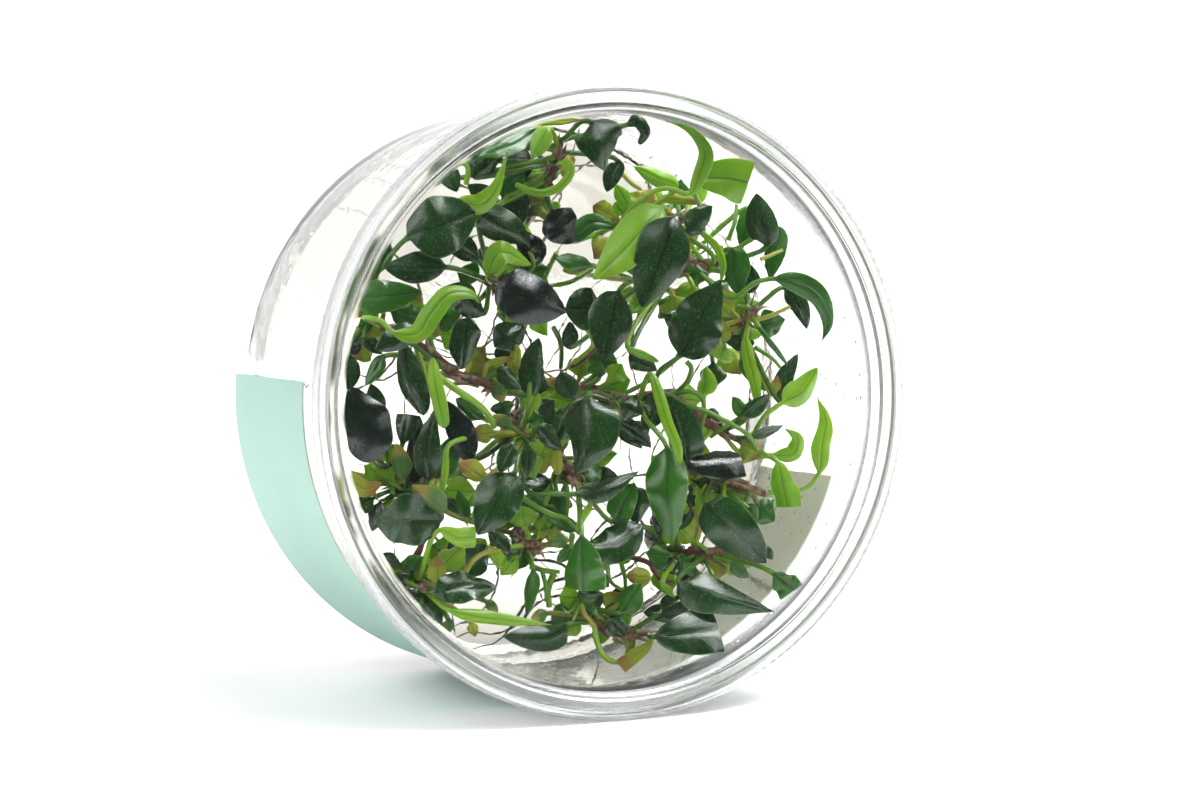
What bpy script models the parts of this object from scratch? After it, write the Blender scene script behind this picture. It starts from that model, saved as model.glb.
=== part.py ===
"""Small aquarium plants grown in a clear plastic cup that lies on its side.

The cup is closed by a flat clear lid, a paper band is glued round the lower half of its wall, and a
layer of gel in its far end holds the roots. Sizes are in millimetres and are scaled to metres where a
mesh is made. Everything is laid out in the jar's own frame: Z runs from the centre of the cup's base
to its lid, X to the right and Y up as the lid is looked at. An empty, jar_frame, then lays the jar on
its side, so that it rests on its lid's edge and on the band at its base.
"""
import math
from collections import namedtuple

import bmesh
import bpy
from mathutils import Matrix, Vector

MM = 0.001
GAP = 0.3                 # clearance that two pieces keep where they touch

# Lid, seen from above: a ring on the cup's rim round a panel that lies lower
LID_RADIUS = 50.0
LID_TOP = 52.5
LID_SKIRT = 3.5
LID_EDGE = 0.7            # rounding of the outer edge
LID_SHEET = 0.8
PANEL_TOP = 50.4
PLUG_RADIUS = 46.7        # outside of the wall that joins the ring to the panel

# Cup
BASE_RADIUS = 45.8
BASE_CORNER = 1.5
WALL = 1.0
WALL_FLARE = 1.25         # degrees
SHOULDER_Z = 46.4
RIM_RADIUS = 49.0
RIM_TOP = 51.4
RIM_WALL = 1.2

# Paper band
BAND_LOW, BAND_HIGH = 1.8, 36.8
BAND_THICK = 0.25
BAND_START, BAND_END = 174.0, 341.0   # degrees round the axis, by way of the lowest line

# Gel, with a pocket round the foot of each stem
GEL_TOP = 12.0
FOOT_DEPTH = 3.0

SIDES = 48                # flats round the jar, one of them at the bottom
FIRST_ANGLE = -90.0 - 180.0 / SIDES

# The plants are laid out as they are seen from one point: a place is given as (u, v, z), on the line
# of sight that meets an upright plane through AIM at u to the right and v up, at height z in the jar.
EYE = Vector((-264.7, 40.8, 661.5))
AIM = Vector((19.0, -3.0, -0.2))
LEAN = 4.4                # degrees that the lying jar's axis points up

# Leaves
STALK_RADIUS = 0.42
BLADE_THICK = 0.24        # half of a blade's thickness at its midrib
ARCH = 0.07               # rise of a blade's middle, as a share of its length
SIX = [(1, 0), (0.55, 0.72), (0, 1), (-0.55, 0.72), (-1, 0), (0, -1)]
FOUR = [(1, 0), (0, 1), (-1, 0), (0, -1)]

# How a blade widens from its base (0) to its tip (1): powers of the distance to either end
OUTLINES = {
    "oval": (0.62, 0.62), "ovate": (0.5, 0.85), "lance": (0.6, 1.0), "round": (0.5, 0.5),
    "spoon": (0.9, 0.5), "cut": (0.55, 0.12), "band": (0.3, 0.35)}

COLOURS = {
    "black": (0.006, 0.014, 0.010), "dark": (0.012, 0.045, 0.018), "mid": (0.03, 0.12, 0.02),
    "light": (0.13, 0.33, 0.03), "yellow": (0.42, 0.42, 0.05), "tan": (0.30, 0.17, 0.06)}

# Stems, from the foot in the gel to the growing tip: thickness, then places
STEMS = {
    1: (1.8, [(-13, 30, 9), (-12, 31, 20), (-10.5, 34, 30), (-9.5, 36.5, 36), (-7.5, 40, 39), (-6.8, 44, 40.5)]),
    2: (1.6, [(7, 26, 9), (5, 27.5, 20), (3, 29.5, 30), (6, 30.3, 34), (12, 30.7, 36), (17, 31.5, 37)]),
    3: (1.5, [(-29, 11, 9), (-33, 12, 20), (-38, 13, 30), (-39.5, 17, 33), (-38.5, 21, 35)]),
    4: (1.6, [(-13, 2, 9), (-14, 1.5, 22), (-17, 1.8, 33), (-20, 3, 36), (-25, 4.7, 37), (-31.5, 10.3, 38)]),
    5: (2.6, [(6, 17, 9), (7, 19, 20), (9, 21, 28), (12, 22, 31), (16, 22.5, 32), (20, 23, 32)]),
    6: (1.4, [(17, 10, 9), (19, 10.5, 22), (23, 12, 31), (24.5, 13, 35), (26, 15.5, 37)]),
    7: (1.6, [(-4, 0, 9), (-5, 1, 22), (-2, 2, 30), (4, 0, 33), (12, 0.5, 34), (18, -4, 34), (25, -7.5, 35)]),
    8: (1.8, [(-14, -2, 9), (-14.5, -3, 22), (-14, -5, 32), (-12, -7, 37)]),
    9: (1.4, [(-24, -12, 9), (-28, -13, 20), (-34, -15, 30), (-36.5, -11, 34)]),
    10: (2.0, [(-7, -10, 9), (-7.5, -10, 22), (-7.3, -10, 31), (-5.5, -12, 35), (-3.5, -14.5, 37)]),
    11: (1.9, [(12, -11, 9), (13, -13, 22), (15.5, -14.3, 31), (19, -13.5, 34), (23, -14.2, 36), (28, -16, 38)]),
    12: (1.8, [(-13, -20, 9), (-14, -22, 22), (-13, -24, 32), (-10, -25, 38)]),
    13: (2.0, [(-23, -26, 9), (-26, -28, 20), (-31, -30.5, 31), (-30, -32.5, 36)]),
    14: (1.7, [(-2, -28, 9), (-2, -30.5, 20), (-2.3, -33.5, 29), (-0.8, -37.5, 34), (2.5, -39, 36), (8, -39.5, 37)]),
    15: (2.0, [(8, -23, 9), (9, -24.5, 20), (12, -26, 29), (16.5, -26.2, 33), (21, -26.3, 35)]),
    16: (1.7, [(-14, 17, 9), (-15, 18, 20), (-18, 19.5, 31), (-19, 20.5, 35)]),
}

Leaf = namedtuple("Leaf", "stem along width outline colour blade stalk roll", defaults=([], 0.0))

# Each leaf: its stem, how far along that it grows, width, outline, colour, places along the midrib
# from base to tip, places that its stalk passes, and a turn about the midrib (degrees)
LEAVES = {
    1: Leaf(3, 1.0, 9.5, "round", "dark", [(-32.5, 27.5, 43), (-21.2, 31.8, 45)]),
    2: Leaf(1, 1.0, 4.6, "oval", "mid", [(-10.6, 45.6, 41), (-20.5, 41.2, 43)]),
    3: Leaf(1, 1.0, 8.3, "ovate", "dark", [(-1.5, 46.9, 46), (0.2, 43.5, 47.5), (0.6, 38.7, 46)],
            [(-5.6, 44.7, 44), (-3.4, 47, 45)]),
    4: Leaf(16, 0.9, 5.5, "oval", "dark", [(-20.5, 31.8, 42), (-12, 26.2, 41)]),
    5: Leaf(1, 0.6, 6.0, "oval", "black", [(-8.2, 32, 43), (-4.8, 26.5, 42)]),
    6: Leaf(2, 0.75, 7.0, "ovate", "light", [(10.3, 32.5, 44), (4, 25.5, 45), (-1.3, 20.3, 43)]),
    7: Leaf(2, 0.5, 2.7, "lance", "light",
            [(15, 34.8, 46), (16.8, 38.5, 47), (17.5, 42, 48), (15, 45.5, 47.5), (11.5, 47.2, 46)],
            [(5, 32, 42), (8, 34.8, 44), (11.5, 35.8, 45)]),
    8: Leaf(2, 1.0, 7.3, "cut", "light", [(16.2, 37, 45), (21, 37.5, 46), (25.6, 36.6, 46)]),
    9: Leaf(5, 1.0, 5.3, "oval", "dark", [(28, 26, 37), (26.3, 35, 38)]),
    10: Leaf(16, 1.0, 5.0, "oval", "dark", [(-26.3, 22.5, 43), (-36.6, 22.4, 41)]),
    11: Leaf(3, 0.7, 5.3, "oval", "mid", [(-42, 17, 36), (-30.3, 18.3, 40)]),
    12: Leaf(3, 0.5, 3.4, "lance", "light",
             [(-35, 11.4, 44), (-31, 11.3, 45), (-28.8, 14.5, 46), (-25.5, 18, 46), (-21.6, 17.8, 46),
              (-20.5, 16.4, 45)], [(-39.8, 14, 41), (-37, 13.3, 43)]),
    13: Leaf(16, 0.8, 5.2, "oval", "dark", [(-22.3, 13.8, 40), (-23.5, 5.2, 39)]),
    14: Leaf(16, 1.0, 8.5, "oval", "black", [(-17.5, 19.5, 43), (-12, 17.2, 45), (-5.9, 14.8, 43)]),
    15: Leaf(16, 0.9, 4.8, "oval", "dark", [(-20, 14.5, 40), (-23, 17.8, 41.5), (-28, 18, 41)]),
    16: Leaf(2, 0.85, 8.5, "oval", "dark", [(12.8, 30.8, 47), (10, 23.5, 48), (7, 15.6, 47)]),
    17: Leaf(7, 0.6, 8.5, "ovate", "dark", [(13.4, 7.6, 44), (20.3, 20.2, 46)], [(10, 5, 41)]),
    18: Leaf(5, 0.45, 7.2, "oval", "dark", [(3, 18.3, 42), (0.5, 6.9, 42)]),
    19: Leaf(5, 0.4, 6.8, "round", "dark", [(0.3, 15.5, 39), (-6, 15.6, 38)]),
    20: Leaf(5, 0.9, 5.3, "oval", "mid", [(22, 25.5, 38), (23.2, 17.8, 38)]),
    21: Leaf(5, 0.8, 3.5, "lance", "mid",
             [(29.5, 20.5, 43), (33.5, 19.8, 44), (37, 17.3, 44), (38.4, 13, 43), (37.4, 9.9, 42)],
             [(22.3, 17.3, 39), (26, 19.8, 41)]),
    22: Leaf(7, 1.0, 4.6, "oval", "light", [(30.8, -0.4, 39), (34, 1.2, 40), (36.6, 5.5, 40)],
             [(27.5, -3, 38)]),
    23: Leaf(9, 1.0, 8.3, "oval", "black", [(-37.5, -9.8, 42), (-39.8, -4, 43.5), (-42.3, 2.3, 43)]),
    24: Leaf(9, 0.6, 4.4, "lance", "dark", [(-29.2, -13.3, 39), (-29.3, -8, 41), (-28, -1.3, 41)]),
    25: Leaf(9, 0.5, 8.5, "round", "dark", [(-27.2, -20.2, 41), (-38, -20.3, 41)]),
    26: Leaf(7, 0.45, 9.3, "ovate", "dark", [(-2.3, 0.5, 44), (-2.3, -6, 46), (-4.2, -12.7, 44)]),
    27: Leaf(8, 1.0, 7.5, "oval", "dark", [(-14.6, -12.5, 43), (-17.5, -17, 44), (-20.8, -22.8, 42)],
             [(-13.8, -9, 41)]),
    28: Leaf(8, 0.7, 3.6, "lance", "dark", [(-3.8, -15.8, 42), (1, -14.8, 43), (6.6, -12, 42)],
             [(-12.3, -15.5, 38), (-9, -15.8, 41)]),
    29: Leaf(7, 0.55, 6.7, "oval", "mid", [(11.2, -8, 46), (11.2, -15, 47.5), (12, -24, 46)], [(7.5, -3, 42)]),
    30: Leaf(7, 0.55, 1.9, "band", "light",
             [(8.6, 4.3, 46), (9.8, 1, 47.5), (11.3, -4, 48.5), (13, -8, 48.5), (13.4, -10.8, 48)]),
    31: Leaf(11, 0.5, 6.5, "oval", "dark", [(14.8, -11, 40), (13.5, -5.5, 41), (10.8, 0.8, 40)]),
    32: Leaf(11, 0.7, 6.0, "cut", "black", [(15, -11.3, 43), (24.2, -9.3, 43)]),
    33: Leaf(7, 1.0, 4.8, "cut", "light", [(29.8, -10.4, 41), (31.8, -18.7, 41)], [(28, -9.3, 39)]),
    34: Leaf(11, 1.0, 3.2, "lance", "light",
             [(36.9, -12.3, 41), (37.3, -8, 42), (38, -3.5, 42), (36.5, 0.7, 41)], [(34.5, -15, 40)]),
    35: Leaf(11, 0.6, 8.0, "oval", "dark", [(17.6, -17.6, 42), (22.5, -22, 44), (28, -27.5, 43)]),
    36: Leaf(13, 1.0, 5.3, "oval", "dark", [(-28, -32.4, 40), (-23, -31.5, 41), (-17.6, -31.5, 40)]),
    37: Leaf(10, 1.0, 6.8, "cut", "mid", [(-3.2, -23, 43), (-3, -33, 43)]),
    38: Leaf(15, 0.5, 6.3, "oval", "dark", [(7, -21.4, 40), (2.5, -24.3, 41.5), (-2.5, -24.8, 41)]),
    39: Leaf(15, 0.8, 6.3, "lance", "dark", [(13.4, -31, 45), (20, -33, 47.5), (29.3, -35.8, 47)]),
    40: Leaf(14, 1.0, 8.0, "cut", "dark", [(9.3, -40, 46), (20.8, -38.7, 47)]),
}

# Small leaves, which stay part of their stem
SMALL = [
    Leaf(1, 0.65, 3.5, "lance", "light", [(-24.3, 33.3, 43), (-20.5, 33, 44), (-18, 35.2, 45), (-15.8, 41.8, 44)],
         [(-22, 31, 38), (-25.6, 31.4, 41)]),
    Leaf(1, 0.8, 4.5, "oval", "dark", [(-21.5, 37.8, 40), (-16.2, 42.2, 41)]),
    Leaf(1, 0.95, 3.3, "lance", "light", [(-8.8, 46, 44), (-11.8, 40.5, 45)]),
    Leaf(1, 0.75, 4.5, "oval", "black", [(-12.5, 42.8, 36), (-15.5, 36.2, 37)]),
    Leaf(1, 0.45, 4.5, "oval", "dark", [(-15, 35.5, 34), (-13.5, 29.5, 35)]),
    Leaf(1, 0.9, 3.0, "oval", "dark", [(2.8, 40.5, 40), (1, 35.2, 40)]),
    Leaf(2, 0.4, 3.2, "lance", "mid", [(-4.8, 27, 38), (-1.5, 30, 40), (4.3, 28.8, 40)]),
    Leaf(2, 0.6, 2.8, "oval", "light", [(12.8, 36, 38), (5.6, 39.5, 38)]),
    Leaf(2, 0.75, 4.0, "oval", "dark", [(14.5, 28.5, 42), (18.8, 32.8, 42)]),
    Leaf(2, 0.9, 1.3, "band", "light", [(16.3, 29, 38), (19.5, 26, 39), (20.6, 23, 39), (20.4, 20.3, 38)]),
    Leaf(3, 0.95, 3.4, "oval", "dark", [(-37.5, 23.3, 38), (-36, 27, 38)]),
    Leaf(3, 0.45, 4.0, "oval", "dark", [(-43, 8, 36), (-42.5, 1.5, 36)]),
    Leaf(4, 1.0, 4.0, "oval", "dark", [(-31, 12, 41), (-38.2, 8.5, 41)]),
    Leaf(4, 0.85, 4.5, "spoon", "dark", [(-32.8, 9.6, 40), (-32.3, 4, 41), (-29.8, -2.6, 40)]),
    Leaf(4, 0.9, 2.6, "oval", "mid", [(-36.5, 7.4, 37), (-39.8, 2.6, 37)]),
    Leaf(4, 0.5, 4.5, "oval", "dark", [(-12, 1, 38), (-10.5, 10.5, 38)]),
    Leaf(4, 0.6, 3.0, "oval", "dark", [(-17.5, 5, 38), (-13.5, 2, 39)]),
    Leaf(5, 0.7, 3.0, "oval", "mid", [(24.9, 32.5, 33), (23.8, 25.5, 33)]),
    Leaf(5, 0.95, 3.5, "oval", "mid", [(30, 29, 36), (28.6, 20.4, 36)]),
    Leaf(6, 1.0, 3.3, "oval", "dark", [(31, 19, 37), (33.5, 16, 38), (34.9, 12, 37)]),
    Leaf(6, 0.85, 2.2, "band", "light", [(24.5, 10.5, 37), (25, 7, 38), (26, 3, 38), (26.5, -0.5, 38)]),
    Leaf(6, 0.7, 3.5, "oval", "mid", [(24, 7, 33), (28.3, 1.5, 33)]),
    Leaf(7, 0.35, 3.8, "oval", "dark", [(-4.8, 0.5, 38), (-6.8, 4.8, 38)]),
    Leaf(7, 0.48, 3.8, "oval", "dark", [(3.6, -0.6, 41), (7.2, -2.2, 41.5)]),
    Leaf(7, 0.9, 2.8, "lance", "light",
         [(29.3, -9.3, 35), (32.5, -9, 36), (33.2, -6.5, 37), (31, -4.7, 37)], [(24.5, -9.5, 33)]),
    Leaf(8, 0.7, 3.3, "oval", "mid", [(-20, -3, 38), (-24.5, 0.3, 38)]),
    Leaf(8, 0.75, 4.5, "oval", "black", [(-21.5, -9.8, 38), (-26.2, 0, 38)]),
    Leaf(8, 0.6, 4.0, "oval", "mid", [(-26.3, -13, 36), (-25.3, -6.2, 37)]),
    Leaf(8, 0.9, 3.3, "oval", "yellow", [(-19.5, -13, 40), (-24, -10.5, 41)]),
    Leaf(8, 0.85, 3.3, "oval", "dark", [(-15, -7.5, 43), (-17, -12.3, 43)]),
    Leaf(9, 0.9, 4.0, "cut", "dark", [(-33.5, -7.3, 37), (-32.5, -2, 37)]),
    Leaf(9, 0.7, 3.5, "oval", "black", [(-31.8, -13.8, 35), (-30.5, -3, 34)]),
    Leaf(12, 0.5, 4.0, "oval", "tan", [(-26.2, -18.8, 42), (-31.8, -14.4, 43)]),
    Leaf(10, 0.9, 4.5, "oval", "mid", [(2, -20.5, 38), (5.8, -14, 39)]),
    Leaf(10, 1.0, 2.5, "oval", "mid", [(-3.9, -21.5, 38), (-9.4, -19.6, 38)]),
    Leaf(11, 0.45, 2.0, "lance", "light", [(16.5, -15.8, 37), (17.6, -19, 38), (20.5, -23.5, 37)]),
    Leaf(12, 0.6, 2.6, "lance", "mid", [(-11.4, -28.8, 36), (-12.6, -36.8, 36)]),
    Leaf(12, 1.0, 2.2, "lance", "tan", [(-8, -24, 40), (-5, -23.6, 40)]),
    Leaf(13, 0.7, 5.0, "oval", "dark", [(-23, -29, 35), (-19.5, -24.5, 35)]),
    Leaf(13, 0.9, 2.2, "lance", "light", [(-25.3, -35.6, 41), (-17, -37, 42), (-8.3, -38, 42)]),
    Leaf(13, 0.8, 3.3, "oval", "yellow", [(-27.6, -31, 37), (-27.5, -26.3, 37)]),
    Leaf(14, 0.5, 4.3, "oval", "mid", [(3.5, -35.8, 39), (6.8, -31, 40)]),
    Leaf(14, 0.6, 5.0, "oval", "dark", [(-5.8, -38, 39), (-9, -40, 39), (-16.5, -40, 38)]),
    Leaf(14, 0.9, 5.0, "oval", "dark", [(10, -36, 38), (15.5, -33, 38)]),
    Leaf(15, 1.0, 4.8, "cut", "mid", [(29.3, -29.4, 46), (32.6, -32.6, 46.5)], [(26, -27.8, 41)]),
]


def seen(u, v, z):
    """The place at height z in the jar on the line of sight through (u, v)."""
    back = (EYE - AIM).normalized()
    upright = Vector((0, math.cos(math.radians(LEAN)), math.sin(math.radians(LEAN))))
    right = upright.cross(back).normalized()
    spot = AIM + right * u + back.cross(right) * v
    return EYE + (spot - EYE) * ((z - EYE.z) / (spot.z - EYE.z))


def wall_radius(z):
    """Outer radius of the cup's wall at a height over its base."""
    return BASE_RADIUS + (z - BASE_CORNER) * math.tan(math.radians(WALL_FLARE))


def clear_scene():
    for thing in list(bpy.data.objects):
        bpy.data.objects.remove(thing)


def material(name, colour, roughness, transmission=0.0, ior=1.5):
    made = bpy.data.materials.new(name)
    made.use_nodes = True
    shader = made.node_tree.nodes["Principled BSDF"]
    shader.inputs["Base Color"].default_value = (*colour, 1.0)
    shader.inputs["Roughness"].default_value = roughness
    shader.inputs["Metallic"].default_value = 0.0
    shader.inputs["Transmission Weight"].default_value = transmission
    shader.inputs["IOR"].default_value = ior
    return made


def finish(name, mesh_in_mm, look, frame):
    """Scales a bmesh to metres and hangs it, as one object, on the jar's frame."""
    bmesh.ops.scale(mesh_in_mm, vec=(MM, MM, MM), verts=mesh_in_mm.verts)
    mesh = bpy.data.meshes.new(name)
    mesh_in_mm.to_mesh(mesh)
    mesh_in_mm.free()
    mesh.materials.append(look)
    mesh.shade_smooth()
    mesh.set_sharp_from_angle(angle=math.radians(35))
    thing = bpy.data.objects.new(name, mesh)
    bpy.context.scene.collection.objects.link(thing)
    thing.parent = frame
    return thing


def turned(profile):
    """Spins an outline of (radius, height) points round the jar's axis; points on the axis are poles."""
    made = bmesh.new()
    closed = profile[0][0] > 0
    verts = [made.verts.new((r, 0, z)) for r, z in profile]
    pairs = list(zip(verts, verts[1:]))
    if closed:
        pairs.append((verts[-1], verts[0]))
    edges = [made.edges.new(pair) for pair in pairs]
    start = Matrix.Rotation(math.radians(FIRST_ANGLE), 3, "Z")
    bmesh.ops.rotate(made, verts=made.verts, cent=(0, 0, 0), matrix=start)
    bmesh.ops.spin(
        made, geom=verts + edges, cent=(0, 0, 0), axis=(0, 0, 1), dvec=(0, 0, 0),
        angle=math.tau, steps=SIDES, use_duplicate=False)
    bmesh.ops.remove_doubles(made, verts=made.verts, dist=0.001)
    bmesh.ops.recalc_face_normals(made, faces=made.faces)
    return made


def part_ring(ring, start, end):
    """Keeps the stretch of a turned ring between two angles less than half a turn apart."""
    for angle, side in ((start, 1.0), (end, -1.0)):
        across = Vector((-math.sin(math.radians(angle)), math.cos(math.radians(angle)), 0)) * side
        cut = bmesh.ops.bisect_plane(
            ring, geom=ring.verts[:] + ring.edges[:] + ring.faces[:], plane_co=(0, 0, 0), plane_no=across,
            clear_inner=True)
        rim = [item for item in cut["geom_cut"] if isinstance(item, bmesh.types.BMEdge)]
        bmesh.ops.edgenet_fill(ring, edges=rim)
    bmesh.ops.recalc_face_normals(ring, faces=ring.faces)
    return ring


def cup_outline():
    corner = [
        (BASE_RADIUS - BASE_CORNER * (1 - math.sin(a)), BASE_CORNER * (1 - math.cos(a)))
        for a in (0.0, math.radians(45), math.radians(90))]
    outer = wall_radius(SHOULDER_Z)
    inner = outer - WALL
    mouth = RIM_RADIUS - RIM_WALL
    floor_radius = BASE_RADIUS - WALL - 0.6
    return [
        (0, 0), *corner,
        (outer, SHOULDER_Z), (RIM_RADIUS, SHOULDER_Z + 1.2), (RIM_RADIUS, RIM_TOP),
        (mouth, RIM_TOP), (mouth, SHOULDER_Z + 2.2), (inner, SHOULDER_Z + 0.4),
        (floor_radius + 0.6, WALL + 0.9), (floor_radius, WALL), (0, WALL)]


def lid_outline():
    under = PANEL_TOP - LID_SHEET
    skirt = LID_TOP - LID_SKIRT
    inside = LID_RADIUS - 0.65
    throat = PLUG_RADIUS - LID_SHEET
    return [
        (0, PANEL_TOP), (throat, PANEL_TOP), (throat + 0.1, LID_TOP - 0.2), (throat + 0.4, LID_TOP),
        (LID_RADIUS - LID_EDGE, LID_TOP), (LID_RADIUS, LID_TOP - LID_EDGE), (LID_RADIUS, skirt),
        (inside, skirt), (inside, LID_TOP - LID_SHEET), (PLUG_RADIUS, LID_TOP - LID_SHEET),
        (PLUG_RADIUS, under), (0, under)]


def band_outline():
    inner = [(wall_radius(z) + GAP, z) for z in (BAND_LOW, BAND_HIGH)]
    outer = [(r + BAND_THICK, z) for r, z in inner]
    return [inner[0], outer[0], outer[1], inner[1]]


def gel_outline():
    low, high = WALL + GAP, GEL_TOP
    inner = [wall_radius(z) - WALL - GAP for z in (low, low + 1.2, high)]
    return [(0, low), (inner[0] - 1.2, low), (inner[1], low + 1.2), (inner[2], high), (0, high)]


def smooth(points, steps=10):
    """A dense row of places on a smooth curve through the points, steps of them to each stretch."""
    ends = [points[0] * 2 - points[1], *points, points[-1] * 2 - points[-2]]
    row = []
    for a, b, c, d in zip(ends, ends[1:], ends[2:], ends[3:]):
        t1, t2, t3 = [(q - p).length ** 0.5 for p, q in ((a, b), (b, c), (c, d))]
        leave = (b - a) / t1 - (c - a) / (t1 + t2) + (c - b) / t2
        arrive = (c - b) / t2 - (d - b) / (t2 + t3) + (d - c) / t3
        for k in range(steps):
            s = k / steps
            row.append(
                b * (2 * s**3 - 3 * s**2 + 1) + c * (3 * s**2 - 2 * s**3)
                + leave * t2 * (s**3 - 2 * s**2 + s) + arrive * t2 * (s**3 - s**2))
    return row + [points[-1]]


def along_row(row, share):
    """The place and the direction at a share of a dense row's places, 0 to 1."""
    at = share * (len(row) - 1)
    i = min(int(at), len(row) - 2)
    return row[i].lerp(row[i + 1], at - i), (row[i + 1] - row[i]).normalized()


def section(place, along, half_width, half_thick, shape, roll=0.0, dish=0.0):
    """Points round a stalk or across a blade whose upper side is turned to EYE, then rolled."""
    out = EYE - place
    out = (out - along * out.dot(along)).normalized()
    out = Matrix.Rotation(math.radians(roll), 3, along) @ out
    across = out.cross(along)
    return [place + across * (half_width * x) + out * (half_thick * y - dish * half_width * abs(x))
            for x, y in shape]


def half_width(leaf, share):
    rise, fall = OUTLINES[leaf.outline]
    peak = rise / (rise + fall)
    top = peak**rise * (1 - peak)**fall
    return leaf.width / 2 * max(share, 0.0)**rise * max(1 - share, 0.0)**fall / top


def skin(body, ring, sections, tip=None):
    """Walls from a ring of vertices through each section, closed at the end by a point or a face."""
    count = len(ring)
    for places in sections:
        ahead = [body.verts.new(place) for place in places]
        for i in range(count):
            j = (i + 1) % count
            body.faces.new((ring[i], ring[j], ahead[j], ahead[i]))
        ring = ahead
    if tip is None:
        body.faces.new(ring)
        return
    point = body.verts.new(tip)
    for i in range(count):
        body.faces.new((ring[i], ring[(i + 1) % count], point))


def split_bent(body):
    """Splits each four-sided face in two, since a twisted one isn't flat."""
    bmesh.ops.triangulate(body, faces=[face for face in body.faces if len(face.verts) == 4])
    return body


def stem_row(number):
    return smooth([seen(*place) for place in STEMS[number][1]])


def stem_radius(number, share):
    """A stem swells at its rings of old leaf bases and narrows to its growing tip."""
    swell = 1.0 + 0.08 * math.sin(share * 40.0)
    return STEMS[number][0] / 2 * swell * min(1.0, 0.45 + 3.0 * (1 - share))


def stem_body(number, extra=0.0):
    """The stem itself, or with an extra radius the pocket that its foot needs in the gel."""
    row = stem_row(number)
    length = sum((b - a).length for a, b in zip(row, row[1:]))
    count = max(8, round(length / 3.8))
    shares = [k / count for k in range(count + 1)]
    hexagon = [(math.cos(math.tau * k / 6), math.sin(math.tau * k / 6)) for k in range(6)]
    sections = []
    for share in shares:
        place, along = along_row(row, share)
        radius = stem_radius(number, share) + extra
        if extra and share == 0.0:
            place = place - along * extra
        sections.append(section(place, along, radius, radius, hexagon))
        if extra and place.z > GEL_TOP + 1:
            break
    body = bmesh.new()
    first = [body.verts.new(place) for place in sections[0]]
    body.faces.new(first[::-1])
    skin(body, first, sections[1:])
    return body


def leaf_row(leaf, lift=0.0):
    """The dense row of a leaf's midline from its stem on, and the share of it at the blade's base."""
    stem = stem_row(leaf.stem)
    blade = [seen(*place) for place in leaf.blade]
    if len(blade) == 2:
        middle = blade[0].lerp(blade[1], 0.5)
        blade.insert(1, middle + (EYE - middle).normalized() * (ARCH * (blade[1] - blade[0]).length))
    stalk = [seen(*place) for place in leaf.stalk]
    place, along = along_row(stem, leaf.along)
    aim = (stalk + blade)[0] - place
    side = (aim - along * aim.dot(along)).normalized()
    start = place + side * lift
    row = smooth([start, *stalk, *blade])
    return row, (1 + len(stalk)) / (len(stalk) + len(blade))


def leaf_sections(leaf, shape, lift, stalk_step, blade_cuts):
    """Sections of a leaf from its stem to just before its tip, and the tip, or None for a cut end."""
    row, base = leaf_row(leaf, lift)
    stalk_length = sum((b - a).length for a, b in zip(row, row[1:]) if row.index(a) < base * (len(row) - 1))
    count = max(2, round(stalk_length / stalk_step))
    stations = [(base * k / count, STALK_RADIUS, STALK_RADIUS, 0.0) for k in range(count)]
    for cut in blade_cuts:
        wide = max(half_width(leaf, cut), STALK_RADIUS)
        thick = BLADE_THICK + (STALK_RADIUS - BLADE_THICK) * max(0.0, 1 - 4 * cut)
        stations.append((base + (1 - base) * cut, wide, thick, 0.12))
    places = [along_row(row, station[0])[0] for station in stations] + [row[-1]]
    sections = []
    for i, (_, wide, thick, dish) in enumerate(stations):
        ahead = (places[i + 1] - places[i]).normalized()
        behind = (places[i] - places[i - 1]).normalized() if i else ahead
        along = (ahead + behind).normalized()
        sections.append(section(places[i], along, wide, thick, shape, leaf.roll, dish))
    if leaf.outline == "cut":
        return sections, None
    return sections, row[-1]


def leaf_body(number):
    leaf = LEAVES[number]
    lift = stem_radius(leaf.stem, leaf.along) + STALK_RADIUS + GAP
    sections, tip = leaf_sections(leaf, SIX, lift, 4.5, (0.05, 0.25, 0.5, 0.75, 0.92))
    body = bmesh.new()
    first = [body.verts.new(place) for place in sections[0]]
    body.faces.new(first[::-1])
    skin(body, first, sections[1:], tip)
    return split_bent(body)


def grow_small_leaf(body, leaf):
    """Draws one face of the stem out into a small leaf."""
    sections, tip = leaf_sections(leaf, FOUR, stem_radius(leaf.stem, leaf.along) + 0.8, 7.0, (0.06, 0.33, 0.66, 0.9))
    place, _ = along_row(stem_row(leaf.stem), leaf.along)
    out = (sum(sections[0], Vector()) / 4 - place).normalized()

    def distance(face):
        return (face.calc_center_median() - place - out * stem_radius(leaf.stem, leaf.along)).length

    face = min((f for f in body.faces if len(f.verts) == 4 and not f.tag), key=distance)
    ring = list(face.verts)
    body.faces.remove(face)
    turns = [ring[k:] + ring[:k] for k in range(4)]
    ring = min(turns, key=lambda r: sum((v.co - p).length for v, p in zip(r, sections[0])))
    before = set(body.faces)
    skin(body, ring, sections, tip)
    for made in set(body.faces) - before:
        made.tag = True


def lay_down():
    """The turn that lays the jar on its side, resting on the lid's skirt and the band's lower edge."""
    flat = math.cos(math.radians(180 / SIDES))
    skirt_z = LID_TOP - LID_SKIRT
    band_radius = wall_radius(BAND_LOW) + GAP + BAND_THICK
    tilt = math.atan2((LID_RADIUS - band_radius) * flat, skirt_z - BAND_LOW)
    return Matrix.Rotation(math.pi / 2 - tilt, 4, "X")


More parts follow.
